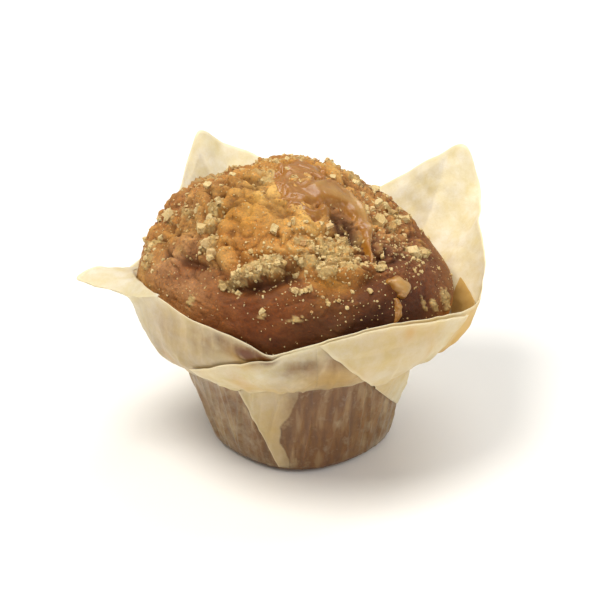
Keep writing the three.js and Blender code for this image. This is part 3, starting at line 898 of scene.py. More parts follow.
# %% Crumble material
def crumble_material():
    material, tree = new_material("baked_crumble")
    tone = node(tree, "ShaderNodeAttribute", attribute_name="tone").outputs["Fac"]
    place = node(tree, "ShaderNodeTexCoord").outputs["Object"]
    sand = {"Vector": place, "Scale": per(0.6), "Detail": 3, "Roughness": 0.65}
    sand = node(tree, "ShaderNodeTexNoise", sand)
    toasted = node(tree, "ShaderNodeMapRange", [tone, 0.8, 0.98, 0.0, 0.75])
    dark = node(tree, "ShaderNodeMapRange", [sand, 0.45, 0.3, 0.0, 0.45])
    pale = node(tree, "ShaderNodeMapRange", [sand, 0.55, 0.7, 0.0, 0.5])
    colour = {0: tone, 6: linear("#c0a065"), 7: linear("#d9c38d")}
    colour = node(tree, "ShaderNodeMix", colour, data_type="RGBA")
    colour = node(tree, "ShaderNodeMix", {0: toasted, 6: colour, 7: linear("#b67f42")}, data_type="RGBA")
    colour = node(tree, "ShaderNodeMix", {0: dark, 6: colour, 7: linear("#9b743d")}, data_type="RGBA")
    colour = node(tree, "ShaderNodeMix", {0: pale, 6: colour, 7: linear("#e5d4a6")}, data_type="RGBA")
    normal = node(tree, "ShaderNodeBump", {"Height": sand, "Distance": 0.25 * MM, "Strength": 0.9})
    crumble = {"Base Color": colour, "Normal": normal, "Roughness": 0.7, "IOR": 1.48}
    crumble |= {"Subsurface Weight": 0.25, "Subsurface Scale": 1.0 * MM}
    crumble |= {"Subsurface Radius": (1.0, 0.75, 0.45)}
    surface = node(tree, "ShaderNodeBsdfPrincipled", crumble)
    node(tree, "ShaderNodeOutputMaterial", {"Surface": surface}, is_active_output=True)
    return material


crumble_finish = crumble_material()
for name, seed, by_hand, drifts, cuts in (
    ("crumble_lumps", 11, CRUMBLE_SHOWN, CRUMBLE_DRIFTS, 1),
    ("crumble_dust", 12, [], CRUMBLE_DUST, 0),
):
    finish_piece(build_crumble(seed, by_hand, drifts, cuts), name, crumble_finish, "cake", rounded=False)


# %% [markdown]
# ## The caramel
#
# A spoon of caramel was laid on the raw batter. It ran over the crown in a thin uneven sheet, and
# its thick edge folded over on the right and crept down in a tongue that ends in a thread. A finely
# cut plane is laid over the crown like a cloth. Its height over the crust comes from lines that have
# a width and a thickness, so that the edges are round, as surface tension makes them. Where it is
# below the crust, it is cut away.

# %% Lines of caramel: thickness in mm, then stops of angle, rise and half width in mm
CARAMEL_LINES = [
    (
        1.6,
        [
            (318, 79, 3.4),
            (338, 79, 5.0),
            (351, 75, 5.8),
            (353.5, 71, 5.8),
            (351, 67, 5.0),
            (346, 64, 4.4),
            (341.6, 61.5, 3.7),
            (333, 56.8, 2.5),
            (322, 50.5, 1.3),
            (313, 43.6, 0.6),
            (309.5, 39.5, 0.45),
        ],
    ),
    (0.55, [(262, 74, 2.8), (272, 79, 5.0), (300, 87, 7.0), (72, 81, 6.5), (68, 73, 4.0)]),
    (0.9, [(267, 68, 0.8), (272.5, 70.5, 1.5), (281, 67.5, 1.9), (289, 66, 1.6), (298, 67.5, 1.4)]),
    (0.9, [(298, 67.5, 1.4), (306, 71, 1.8), (318, 75, 3.0)]),
    (0.7, [(272, 71, 1.4), (281, 76, 2.6), (300, 78, 3.6), (318, 77, 3.6)]),
    (1.3, [(310.5, 28.3, 1.1), (314, 26.6, 2.5), (316, 23.8, 2.6), (313.8, 21.5, 1.3)]),
    (1.1, [(310.6, 20, 0.8), (309.8, 17, 1.2), (308.8, 14, 1.2), (307, 11.8, 0.6)]),
]
# folds in it: height, width in mm, then stops of angle and rise
CARAMEL_FOLDS = [
    (0.9, 1.3, [(20, 76), (14, 71), (6, 67), (356, 64), (345, 59), (332, 53)]),
    (0.6, 0.9, [(270, 69), (281, 68), (290, 66.5), (300, 69), (312, 73)]),
    (-0.9, 1.3, [(300, 74), (316, 73), (330, 70), (334, 65)]),
    (-4.0, 1.0, [(24, 80.7), (30, 80.5)]),
    (0.5, 0.8, [(262, 75), (272, 76), (284, 76), (300, 75.5)]),
    (0.5, 0.8, [(250, 80), (262, 83), (290, 86)]),
    (0.45, 0.8, [(230, 84), (200, 86), (120, 86)]),
    (0.5, 0.9, [(300, 82), (330, 82), (0, 80), (16, 78)]),
    (-0.5, 0.9, [(340, 68), (336, 63), (328, 57)]),
]
CLOTH_CUTS = 150
CARAMEL_DIP = 0.9  # how far the cloth dips into the crust outside the caramel
CARAMEL_EDGE = 0.12  # how deep it already is right at the caramel's edge


def line_parts(lines):
    parts = []
    for thickness, stops in lines:
        for (a0, r0, h0), (a1, r1, h1) in zip(stops, stops[1:]):
            start, end = direction(a0, r0) * SKIN_RADIUS, direction(a1, r1) * SKIN_RADIUS
            parts.append((start, end - start, h0, h1, thickness))
    return parts


def fold_parts(folds):
    parts = []
    for height, width, stops in folds:
        ways = [direction(a, r) * SKIN_RADIUS for a, r in stops]
        parts += [(start, end - start, height, width) for start, end in zip(ways, ways[1:])]
    return parts


CARAMEL_PARTS = line_parts(CARAMEL_LINES)
FOLD_PARTS = fold_parts(CARAMEL_FOLDS)


def caramel_height(spot):
    """How far the caramel stands over the crust, and below zero outside it."""
    inside, outside = 0.0, 9.0
    for start, way, wide0, wide1, thickness in CARAMEL_PARTS:
        share = clamp((spot - start).dot(way) / way.length_squared)
        half = lerp(wide0, wide1, share)
        away = (spot - start - way * share).length / half
        if away < 1:
            inside += (min(1.0, half / 1.6) * thickness * (1 - away**2) ** 0.6) ** 3
        outside = min(outside, (away - 1) * half)
    if outside > 0:
        return -CARAMEL_DIP * min(outside, 1.0) - CARAMEL_EDGE
    out = inside ** (1 / 3)
    low = high = 0.0
    for start, way, height, width in FOLD_PARTS:
        share = clamp((spot - start).dot(way) / way.length_squared)
        fold = height * swell((spot - start - way * share).length, width)
        low, high = min(low, fold), max(high, fold)
    return out + (low + high) * smooth(0.0, 0.5, out)


def turn_outwards(bm):
    """Makes an open surface's faces agree, and look away from the middle of the base."""
    bmesh.ops.recalc_face_normals(bm, faces=bm.faces)
    if sum(face.normal.dot(face.calc_center_median()) for face in bm.faces) < 0:
        bmesh.ops.reverse_faces(bm, faces=bm.faces)


def build_caramel(middle, size, milkier):
    """A plane over the crown that is centred on middle, an angle and a rise, and size mm across."""
    out = direction(*middle)
    side = direction(middle[0] + 90, 0)
    up = out.cross(side)
    bm = bmesh.new()
    bmesh.ops.create_grid(bm, x_segments=CLOTH_CUTS, y_segments=CLOTH_CUTS, size=size / 2)
    thick = bm.verts.layers.float.new("thick")
    for vert in bm.verts:
        here = (out * SKIN_RADIUS + side * vert.co.x + up * vert.co.y).normalized()
        wavy = here * SKIN_RADIUS + 0.9 * noise_way(here * SKIN_RADIUS / 4)
        height = caramel_height(wavy)
        height += 0.2 * noise.noise(wavy / 3.2) * smooth(0, 0.6, height)
        angle = math.degrees(math.atan2(here.y, here.x)) % 360
        rise = math.degrees(math.asin(clamp(here.z, -1, 1)))
        rough = on_dome(angle, rise, height)
        even = on_dome(angle, rise, height, fine=False)
        vert.co = rough.lerp(even, 0.92 * smooth(0.15, 0.8, height))
        vert[thick] = height + milkier
    bare = [face for face in bm.faces if max(vert[thick] for vert in face.verts) < milkier - 0.35]
    bmesh.ops.delete(bm, geom=bare, context="FACES")
    turn_outwards(bm)
    return bm


# %% [markdown]
# ## Set caramel
#
# Caramel is sugar glass with butter in it: smooth, glossy and cloudy, and light sinks about 1.5 mm
# into it. Where it is thin it is clear enough to take the brown of the crust, and the thick folds
# are paler, with a pinkish milky cast. Its index of refraction is that of sugar, 1.49.


# %% Caramel material
def caramel_material():
    material, tree = new_material("set_caramel")
    thick = node(tree, "ShaderNodeAttribute", attribute_name="thick").outputs["Fac"]
    place = node(tree, "ShaderNodeTexCoord").outputs["Object"]
    cloud = node(tree, "ShaderNodeTexNoise", {"Vector": place, "Scale": per(4), "Detail": 2})
    flow = {"Vector": place, "Scale": per(1.2), "Detail": 2, "Distortion": 1.5}
    flow = node(tree, "ShaderNodeTexNoise", flow)
    depth = node(tree, "ShaderNodeMapRange", [thick, 0.15, 1.2, 0.0, 1.0])
    milky = node(tree, "ShaderNodeMapRange", [thick, 1.7, 2.6, 0.0, 0.75])
    clouded = node(tree, "ShaderNodeMapRange", [cloud, 0.5, 0.7, 0.0, 0.35])
    streaked = node(tree, "ShaderNodeMapRange", [flow, 0.6, 0.75, 0.0, 0.35])
    colour = {0: depth, 6: linear("#9f661e"), 7: linear("#925f1c")}
    colour = node(tree, "ShaderNodeMix", colour, data_type="RGBA")
    colour = node(tree, "ShaderNodeMix", {0: milky, 6: colour, 7: linear("#b88f50")}, data_type="RGBA")
    colour = node(tree, "ShaderNodeMix", {0: clouded, 6: colour, 7: linear("#ab7a36")}, data_type="RGBA")
    colour = node(tree, "ShaderNodeMix", {0: streaked, 6: colour, 7: linear("#c49b60")}, data_type="RGBA")
    normal = node(tree, "ShaderNodeBump", {"Height": flow, "Distance": 0.2 * MM, "Strength": 0.22})
    sugar = {"Base Color": colour, "Normal": normal, "Roughness": 0.33, "IOR": 1.49}
    sugar |= {"Subsurface Weight": 0.2, "Subsurface Scale": 1.5 * MM}
    sugar |= {"Subsurface Radius": (1.0, 0.55, 0.2), "Coat Weight": 0.15, "Coat Roughness": 0.15}
    surface = node(tree, "ShaderNodeBsdfPrincipled", sugar)
    node(tree, "ShaderNodeOutputMaterial", {"Surface": surface}, is_active_output=True)
    return material


# %% Lay the caramel on
# the middle as an angle and a rise, the size in mm, and how much milkier it is than its thickness
CARAMEL_AREAS = {"caramel_run": ((322, 72), 54, 0.0), "caramel_chips": ((312, 20), 18, 1.2)}
caramel_finish = caramel_material()
for name, (middle, size, milkier) in CARAMEL_AREAS.items():
    layer = finish_piece(build_caramel(middle, size, milkier), name, caramel_finish, "cake")
    skin = layer.modifiers.new("underside", "SOLIDIFY")
    skin.thickness = 0.3 * MM
    skin.offset = -1
    apply_modifiers(layer)
    layer.data.shade_smooth()

# %% [markdown]
# ## The form of the paper
#
# The wrap is one sheet. It lies flat under the cake, runs up the tin as a tapered cup, creases over
# the tin's rim, and flares. Its four corners stand up or lean out. The rim is a table that is read
# smoothly all the way round: angle, distance from the axis, height, and how far the flare bows
# inwards. A place on the paper is an angle and a level: 0 at the base, 1 at the crease, 2 at the rim.

# %% Rim of the paper
RIM = [
    (5, 55.8, 53.3, -7),
    (20, 58.1, 59.2, -2),
    (28, 63.2, 60.8, 0),
    (34, 66.9, 65.5, 0),
    (40, 67.5, 74.1, 0),
    (47, 63.6, 69.2, 0),
    (57, 59.5, 61.2, 0),
    (66, 57.0, 55.2, 0),
    (82, 55.5, 53.0, 0),
    (95, 59.0, 59.5, 0),
    (103, 63.0, 64.0, 0),
    (110, 64.0, 67.5, 0),
    (118.5, 61.8, 74.3, 0),
    (123, 59.4, 68.6, 0),
    (129, 55.0, 61.5, 0),
    (138, 50.8, 54.0, 0),
    (152, 49.4, 48.0, 0),
    (166, 50.8, 48.0, 3),
    (175, 54.0, 51.7, 6),
    (180, 58.2, 54.2, 9),
    (184.5, 63.4, 53.6, 10),
    (189, 58.6, 53.0, 9),
    (193, 52.8, 52.8, 7),
    (198, 50.0, 52.9, 4),
    (204, 48.9, 55.0, 2),
    (211, 48.3, 57.4, 1),
    (219, 48.1, 60.0, 0),
    (227, 48.0, 58.9, 0),
    (234, 48.0, 57.6, 0),
    (242, 48.0, 56.6, 0),
    (249, 48.0, 55.6, 0),
    (255, 48.0, 53.4, 0),
    (261, 48.0, 51.0, 0),
    (271, 48.2, 53.4, 0),
    (282, 48.5, 55.8, 0),
    (296, 48.8, 57.4, 0),
    (310, 49.4, 56.4, 0),
    (322, 50.4, 54.2, -2),
    (333, 52.6, 51.8, -7),
    (343, 54.0, 50.4, -12),
    (352, 54.2, 50.4, -13),
]


def rim_at(angle):
    """The rim's distance, height and bow at an angle, read smoothly between the table's rows."""
    at = angle % 360
    after = next((i for i, row in enumerate(RIM) if row[0] > at), 0)
    rows = [RIM[(after + k) % len(RIM)] for k in (-2, -1, 0, 1)]
    span = (rows[2][0] - rows[1][0]) % 360
    t = ((at - rows[1][0]) % 360) / span
    values = []
    for a, b, c, d in zip(*[row[1:] for row in rows]):
        most = 2 * abs(c - b)
        into, out = clamp((c - a) / 2, -most, most), clamp((d - b) / 2, -most, most)
        values.append(
            (2 * t**3 - 3 * t**2 + 1) * b
            + (t**3 - 2 * t**2 + t) * into
            + (3 * t**2 - 2 * t**3) * c
            + (t**3 - t**2) * out
        )
    return values


SOFT_BEND = 3.0  # the paper leaves the cake's side in a bend, within this many mm of it
RING_CLEAR = 0.6  # how much further off it stands above the ring
RING_CLEAR_OVER = 3  # the height over which it takes that distance
FOOT_RISE = 0.6  # the foot's rounded edge is this share of its radius high


def flare(angle, share, rim):
    """Distance and height of the inner face, from the crease (0) to the rim (1)."""
    rim_radius, rim_height, bow = rim
    low = crease_height(angle)
    dr, dz = rim_radius - CREASE_RADIUS, rim_height - low
    reach = math.hypot(dr, dz)
    bend = 2 * share * (1 - share) * bow / reach
    z = low + dz * share + dr * bend
    r = CREASE_RADIUS + dr * share - dz * bend
    clear = RING_CLEAR * smooth(RING_HEIGHT, RING_HEIGHT + RING_CLEAR_OVER, z)
    held = overhang_radius(angle, z) + clear + PAPER_GAP
    near = clamp(1 - abs(r - held) / SOFT_BEND)
    return max(r, held) + near * near * SOFT_BEND / 4, z


def base_arc(angle, level):
    """The flat base and its rounded edge, from the middle (-1) to the foot of the cup (0)."""
    edge = base_radius(angle)
    share = level + 1
    flat = edge - BASE_FILLET
    if share * edge < flat:
        return share * edge, 0.0
    turn = (share * edge - flat) / BASE_FILLET * math.pi / 2
    return flat + BASE_FILLET * math.sin(turn), BASE_FILLET * (1 - math.cos(turn)) * FOOT_RISE


def section(angle, level, rim):
    if level < 0:
        return base_arc(angle, level)
    if level < 1:
        low = crease_height(angle)
        z = lerp(BASE_FILLET * FOOT_RISE, low, level)
        return cup_radius(angle, z), z
    return flare(angle, level - 1, rim)


# %% [markdown]
# ## Wrinkles
#
# Baking paper can't stretch, so a round cup pressed from a flat sheet takes up the spare in narrow
# upright wrinkles. On the flare they fan out and fade. Each wrinkle is drawn once with a seed: a
# place, a lean, a width and a height. A finer crumple lies over everything.

# %% Draw the wrinkles
PAPER_LIFT = 0.3  # the sheet's middle lies this far outside the inner face of the solid
PAPER_LOWEST = 0.08  # where the sheet's middle lies on the floor: half its thickness and a little
DEEPEST_WRINKLE = -0.35  # no wrinkle goes further in than this, which is clear of the cake


def draw_wrinkles(seed, count, levels, widths, heights, lean, length):
    draw = random.Random(seed)
    drawn = []
    for i in range(count):
        drawn.append(
            (
                360 * (i + draw.uniform(0.1, 0.9)) / count,
                draw.uniform(*levels),
                draw.uniform(*widths),
                draw.uniform(*heights),
                draw.uniform(-lean, lean),
                draw.uniform(*length),
            )
        )
    return drawn


CUP_WRINKLES = draw_wrinkles(3, 72, (0.2, 0.9), (0.8, 1.7), (0.3, 1.0), 14, (0.25, 0.6))
FLARE_WRINKLES = draw_wrinkles(4, 54, (1.0, 1.5), (0.8, 2.0), (0.2, 0.7), 20, (0.2, 0.4))
# swellings of the sheet, listed: angle, level, spread in degrees and in levels, height in mm
SWELLINGS = [
    (252, 1.78, 5.0, 0.14, 0.5),
    (228, 1.45, 10, 0.3, 0.7),
    (208, 1.3, 4, 0.5, 0.6),
    (216, 1.3, 2.5, 0.5, -0.3),
    (292, 1.5, 7, 0.4, 0.5),
    (316, 1.6, 9, 0.35, 0.8),
    (303, 1.8, 3, 0.3, -0.3),
    (62, 1.5, 8, 0.4, 1.0),
    (140, 1.5, 8, 0.4, 0.8),
]


def wrinkle_height(angle, level):
    out = 0.0
    for at, middle, width, height, lean, length in CUP_WRINKLES + FLARE_WRINKLES:
        up = level - middle
        if abs(up) < 1.6 * length:
            side = turned(angle, at + lean * up)
            if abs(side) < 3 * width:
                out += height * swell(side, width) * swell(up, length)
    for at, up, wide, tall, height in SWELLINGS:
        out += height * swell(turned(angle, at), wide) * swell(level - up, tall)
    return out


def crumple(spot, level):
    fold = 0.6 - abs(noise.noise(spot / 7 + Vector((5, 5, 5)))) * 2
    out = 0.4 * fold + 0.45 * noise.noise(spot / 11) + 0.12 * noise.noise(spot / 2.5)
    return out * lerp(0.35, 0.75, smooth(1, 1.2, level))


def paper_point(angle, level, off=0.0, rough=1.0):
    """A point of the sheet. off is how far a second layer stands off it, and rough its crumple."""
    rim = rim_at(angle)
    r, z = section(angle, level, rim)
    step = lerp(0.02, 0.12, smooth(0.3, 1.5, off))
    below_r, below_z = section(angle, level - step, rim)
    above_r, above_z = section(angle, level + step, rim)
    dr, dz = above_r - below_r, above_z - below_z
    length = math.hypot(dr, dz) or 1
    spot = ring_point(angle, r, z)
    lift = PAPER_LIFT + off
    if level < 0:
        lift *= smooth(-0.12, 0, level)
    if level > -0.1:
        rough *= smooth(-0.1, 0.15, level)
        lift += rough * max(DEEPEST_WRINKLE, wrinkle_height(angle, level) + crumple(spot, level))
    return ring_point(angle, r + lift * dz / length, max(PAPER_LOWEST, z - lift * dr / length))


# %% [markdown]
# ## Where the paper is greasy
#
# Butter soaks into the paper where it touches the cake, and the brown of the cake shows through.
# Flaps that stand free stay cream. So each point stores how greasy it is, which falls with its
# distance from the cake, and three more masks: bare edges and folds, painted bright, partly their
# own cream and partly painted highlight, a few oily spots, and how golden the paper is, which is
# partly oven yellowing and partly painted shade on the tucked paper on the right.

# %% Grease, edges and spots
# Each spot is an angle, a level, a spread in degrees, a spread in levels and a strength. An oil spot
# is a stain, a soaked one shows the brown behind it, and a golden one has yellowed in the oven,
# except the two on the right at 342 and 346 degrees, which are painted shade.
OIL_SPOTS = [(310, 1.85, 2.4, 0.1, 0.8), (322, 1.55, 3.0, 0.16, 0.3), (293, 1.3, 5, 0.15, 0.3)]
OIL_SPOTS += [(250, 1.35, 4, 0.2, 0.5), (215, 1.3, 3, 0.1, 0.4), (60, 1.3, 8, 0.2, 0.4)]
SOAKED = [
    (206, 1.7, 12, 0.5, 0.36),
    (222, 1.75, 13, 0.45, 0.5),
    (212, 1.35, 8, 0.22, 0.55),
    (238, 1.78, 9, 0.3, 0.62),
    (246, 1.86, 8, 0.18, 0.75),
    (254, 1.84, 5, 0.12, 1.6),
    (259, 1.9, 5, 0.11, 1.5),
    (272, 1.66, 10, 0.2, 0.8),
    (286, 1.68, 9, 0.26, 0.8),
    (290, 1.3, 9, 0.2, 0.42),
    (266, 1.35, 8, 0.2, 0.3),
    (300, 1.2, 10, 0.25, 0.3),
    (330, 1.2, 14, 0.3, 0.15),
]
DRY = [(196, 1.9, 9, 0.3, 0.9), (216, 1.97, 12, 0.1, 0.6), (250, 1.1, 12, 0.1, 0.6)]
DRY += [(285, 1.98, 18, 0.06, 0.9)]
GOLDEN_AND_SHADE = [
    (305, 1.75, 30, 0.6, 0.5),
    (283, 1.4, 12, 0.34, 0.9),
    (262, 1.2, 20, 0.3, 0.5),
    (228, 1.6, 22, 0.5, 0.4),
    (251, 1.78, 7, 0.16, 1.0),
    (318, 1.0, 22, 0.5, 0.5),
    (318, 1.8, 12, 0.3, 0.6),
    # painted shade: the paper under the flap's right edge, dark gold
    (342, 1.6, 9, 0.6, 1.2),
    (346, 1.3, 9, 0.4, 1.2),
    (262, 0.5, 20, 0.6, 0.6),
    (60, 1.25, 30, 0.2, 0.4),
    (130, 1.25, 30, 0.2, 0.4),
]


def spots_at(spots, angle, level):
    out = 0.0
    for at, up, wide, tall, strength in spots:
        out = max(out, strength * swell(turned(angle, at), wide) * swell(level - up, tall))
    return out


def grease_at(angle, level):
    if level < 1:  # the cup is soaked all round, and most of all where the batter was heaviest
        return 0.84 + 0.26 * swell(turned(angle, 284), 38)
    r, z = flare(angle, min(level - 1, 1), rim_at(angle))
    held = overhang_radius(angle, z) if z < RING_HEIGHT else RING_RADIUS * 0.98
    touch = swell(max(0, r - held - PAPER_GAP), 1.5)
    height = 1 - smooth(44, 51, z)
    general = 0.4 * touch * height + 0.2 * (1 - smooth(1.0, 1.25, level))
    soaked = max(general, spots_at(SOAKED, angle, level)) * (1 - spots_at(DRY, angle, level))
    return clamp(soaked, 0, 1.5)


# bare edges and the crease over the tin's rim are painted bright: partly the paper's own unsoaked cream,
# partly a painted highlight along them
def edge_highlight_at(level):
    return max(smooth(1.965, 2.0, level), swell(level - 1.0, 0.022))


def paper_masks(angle, level, grease, edge=0.0, golden=0.0):
    """Red is grease, green is bare edges and folds with painted highlight, blue is oil, and the fourth is
    how golden it is, partly painted shade.
    """
    bright = max(edge, edge_highlight_at(level))
    golden = clamp(max(golden, spots_at(GOLDEN_AND_SHADE, angle, level)))
    return grease, bright, spots_at(OIL_SPOTS, angle, level), golden


# %% [markdown]
# ## The sheet
#
# A flat grid becomes a strip, the strip is rolled round, and its far ends are welded. One side of
# the grid closes in the middle of the base and the other is the rim. Solidify then gives it the
# thickness of paper.

# %% Build the sheet
PAPER_COLUMNS = 480
BASE_ROWS, CUP_ROWS, FLARE_ROWS = ((6, 32, 48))
PAPER_THICKNESS = 0.14  # about twice the real paper's, so that its edge shows


def row_level(row):
    if row <= BASE_ROWS:
        return row / BASE_ROWS - 1
    if row <= BASE_ROWS + CUP_ROWS:
        return (row - BASE_ROWS) / CUP_ROWS
    return 1 + (row - BASE_ROWS - CUP_ROWS) / FLARE_ROWS


def build_sheet():
    rows = BASE_ROWS + CUP_ROWS + FLARE_ROWS
    bm = bmesh.new()
    bmesh.ops.create_grid(bm, x_segments=PAPER_COLUMNS, y_segments=rows, size=0.5)
    masks = bm.verts.layers.float_color.new("masks")
    for vert in bm.verts:
        angle = 360 * round((vert.co.x + 0.5) * PAPER_COLUMNS) / PAPER_COLUMNS
        level = row_level(round((vert.co.y + 0.5) * rows))
        vert.co = paper_point(angle % 360, level)
        vert[masks] = paper_masks(angle, level, grease_at(angle, level))
    bmesh.ops.remove_doubles(bm, verts=bm.verts, dist=1e-4)
    bmesh.ops.recalc_face_normals(bm, faces=bm.faces)
    return bm


# %% [markdown]
# ## The pleats
#
# Where the square sheet has too much paper for the round tin, it folds over itself. A pleat is a
# second layer that lies on the sheet: its fold is a straight edge that runs up the cup, its top
# follows the rim, and its other edge stands free or is hidden, and then it sinks into the sheet. The
# tuck on the right is a corner of paper that lies inside the flap, painted dark gold as shade. Each
# stop below is an angle, a level and how far the layer stands off, which is below zero on the inside.

# %% Pleats
PLEAT_REST = 0.3  # a pleat's middle lies at least this far over the sheet's
SUNK = -0.27  # and this brings it back, so that a hidden edge ends in the sheet
PLEATS = {
    "front_pleat": {
        "fold": [(260, 0.02, 0), (249, 0.48, 0.1), (240.7, 0.98, 0), (235, 1.15, 0.2), (230.5, 1.37, 0.6)],
        "hidden": [
            (279, 0.02, SUNK),
            (279, 0.5, SUNK),
            (279, 1, SUNK),
            (278, 1.4, SUNK),
            (277, 1.96, SUNK),
        ],
        "top": [
            (230.5, 1.37, 0.6),
            (241.6, 1.53, 1.0),
            (252, 1.69, 0.9),
            (259, 1.87, 0.5),
            (266, 1.97, 0.2),
            (277, 1.96, SUNK),
        ],
    },
    "corner_pleat": {
        "fold": [
            (353, 0.3, 0),
            (336.4, 0.5, 0.1),
            (324, 0.68, 0.3),
            (313.6, 0.85, 0.9),
            (310.5, 1.0, 1.9),
            (302.5, 1.12, 1.5),
            (294.5, 1.33, 0.7),
            (286.4, 1.6, 0.3),
            (281.2, 1.8, 0.2),
            (277.6, 1.97, 0.2),
        ],
        "hidden": [
            (353, 0.3, 0),
            (350.5, 0.5, 1.2),
            (343, 0.7, 2.8),
            (338, 0.9, 3.6),
            (337, 1.05, 2.8),
            (336, 1.2, 1.6),
            (333, 1.4, 1.3),
            (332.5, 1.6, 1.1),
            (333, 1.8, 1.0),
            (335.5, 1.97, 0.9),
        ],
        "top": [
            (277.6, 1.98, 0.2),
            (292, 2.02, 0.4),
            (305, 2.05, 0.7),
            (320, 2.08, 1.0),
            (335.5, 2.07, 0.9),
        ],
    },
    "corner_tuck": {
        "fold": [(345, 1.2, -0.8), (352, 1.35, -0.9), (361, 1.46, -1), (368, 1.53, -1), (371.5, 1.66, -1)],
        "hidden": [(345, 1.9, -0.8), (351, 1.86, -0.9), (357, 1.8, -1), (364, 1.73, -1), (371.5, 1.67, -1)],
        "top": [(371.5, 1.66, -1), (371.5, 1.67, -1)],
        # its dark gold is painted shade
        "golden": 0.95,
    },
    "far_right_pleat": {
        "fold": [(40, 0.08, 0.1), (54, 0.55, 0.2), (70, 1.0, 0.5), (78, 1.2, 1.4), (86, 1.43, 2.2)],
        "hidden": [(30, 0.08, SUNK), (31, 0.5, SUNK), (33, 1.0, SUNK), (38, 1.4, SUNK), (44, 1.95, SUNK)],
        "top": [(86, 1.43, 2.2), (78, 1.73, 1.8), (68, 1.9, 0.8), (56, 1.88, 0.3), (44, 1.95, SUNK)],
    },
    "far_left_pleat": {
        "fold": [(120, 0.08, 0.1), (135, 0.55, 0.2), (150, 1.0, 0.4), (157, 1.15, 1.0), (164, 1.27, 1.6)],
        "hidden": [
            (108, 0.08, SUNK),
            (108, 0.5, SUNK),
            (110, 1.0, SUNK),
            (115, 1.4, SUNK),
            (120, 1.9, SUNK),
        ],
        "top": [(164, 1.27, 1.6), (155, 1.59, 1.3), (144, 1.83, 0.6), (132, 1.9, 0.3), (120, 1.9, SUNK)],
    },
}
PLEAT_ACROSS, PLEAT_UP = ((60, 100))
# Where the soaked side of the front pleat starts, on the cup: levels, and the angle at each.
STAIN_LEVELS = (0.0, 0.13, 0.32, 0.53, 0.73, 1.0)
STAIN_ANGLES = (266, 267, 261.5, 262, 268.7, 273)


def along_stops(stops, share):
    last = len(stops) - 1
    i = min(int(share * last), last - 1)
    return [lerp(a, b, share * last - i) for a, b in zip(stops[i], stops[i + 1])]


def pleat_place(pleat, across, up):
    fold, hidden = along_stops(pleat["fold"], up), along_stops(pleat["hidden"], up)
    top = along_stops(pleat["top"], across)
    first, last = pleat["top"][0], pleat["top"][-1]
    return [
        lerp(a, b, across) + up * up * (c - lerp(d, e, across))
        for a, b, c, d, e in zip(fold, hidden, top, first, last)
    ]


def pleat_grease(name, angle, level):
    if name == "front_pleat" and level < 1:
        start = np.interp(level, STAIN_LEVELS, STAIN_ANGLES) + 0.4 * math.sin(31 * level)
        return lerp(0.14, grease_at(angle, level), smooth(-0.6, 0.6, angle - start))
    soaked = spots_at(SOAKED, angle, level) if name == "front_pleat" else 0.0
    return max(0.04, soaked * smooth(248, 262, angle))


def build_pleat(name):
    pleat = PLEATS[name]
    bm = bmesh.new()
    bmesh.ops.create_grid(bm, x_segments=PLEAT_ACROSS, y_segments=PLEAT_UP, size=0.5)
    masks = bm.verts.layers.float_color.new("masks")
    for vert in bm.verts:
        across, up = clamp(vert.co.x + 0.5), clamp(vert.co.y + 0.5)
        angle, level, off = pleat_place(pleat, across, up)
        vert.co = paper_point(angle, level, off + PLEAT_REST, 1 - 0.6 * smooth(1.2, 2.4, off))
        # the fold and the top edge are painted bright: bare cream and a painted highlight
        edge = max(swell(across, 0.02), smooth(0.975, 1, up))
        grease = lerp(pleat_grease(name, angle, level), grease_at(angle, level), swell(off - SUNK, 0.2))
        vert[masks] = paper_masks(angle, level, grease, edge, pleat.get("golden", 0))
    turn_outwards(bm)
    return bm


# %% [markdown]
# ## The turned-down corner on the left
#
# The sheet's left corner isn't upright: it was bent down over the edge, and its inner face lies
# open like a small ledge from the cake's side to the corner. It is a strip between two lines: one
# on the cake, and the sheet's own rim.

# %% The ledge: stops of angle, distance and height on the cake's side
LEDGE_INNER = [
    (168, 47.4, 48.6),
    (176, 47.2, 51.4),
    (184, 46.8, 53.6),
    (191, 46.4, 54.8),
    (199, 46.0, 56.2),
    (208, 46.8, 57.9),
    (219, 48.6, 60.1),
]
# the angle on the rim at each of these stops
LEDGE_RIM = [(167,), (175,), (184.5,), (190,), (197.5,), (207,), (219,)]
LEDGE_LONG, LEDGE_WIDE = ((120, 20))


def build_ledge():
    bm = bmesh.new()
    bmesh.ops.create_grid(bm, x_segments=LEDGE_LONG, y_segments=LEDGE_WIDE, size=0.5)
    masks = bm.verts.layers.float_color.new("masks")
    for vert in bm.verts:
        along, out = clamp(vert.co.x + 0.5), clamp(vert.co.y + 0.5)
        inner = ring_point(*along_stops(LEDGE_INNER, along))
        outer = paper_point(*along_stops(LEDGE_RIM, along), 2.0, off=0.3)
        vert.co = inner.lerp(outer, out)
        vert.co.z += 0.9 * math.sin(math.pi * out) * (1 - out) + 0.25 * noise.noise(vert.co / 4)
        # greasier by the cake; the outer edge is painted bright: bare cream and a painted highlight
        vert[masks] = (0.05 + 0.12 * (1 - out), smooth(0.95, 1, out), 0, 0)
    bmesh.ops.recalc_face_normals(bm, faces=bm.faces)
    if sum(face.normal.z for face in bm.faces) < 0:
        bmesh.ops.reverse_faces(bm, faces=bm.faces)
    return bm


# %% [markdown]
# ## Greaseproof baking paper
#
# The sheet is cream, unbleached and hard, about 0.06 mm thick, so light comes through it. Cellulose
# has an index of refraction near 1.5. Fresh paper is satin. Where butter has soaked in it is almost
# clear: the brown behind it shows, and it shines more. Fine fibres run through it, about 0.4 mm
# wide and a few millimetres long, drawn coarser here so that they show.


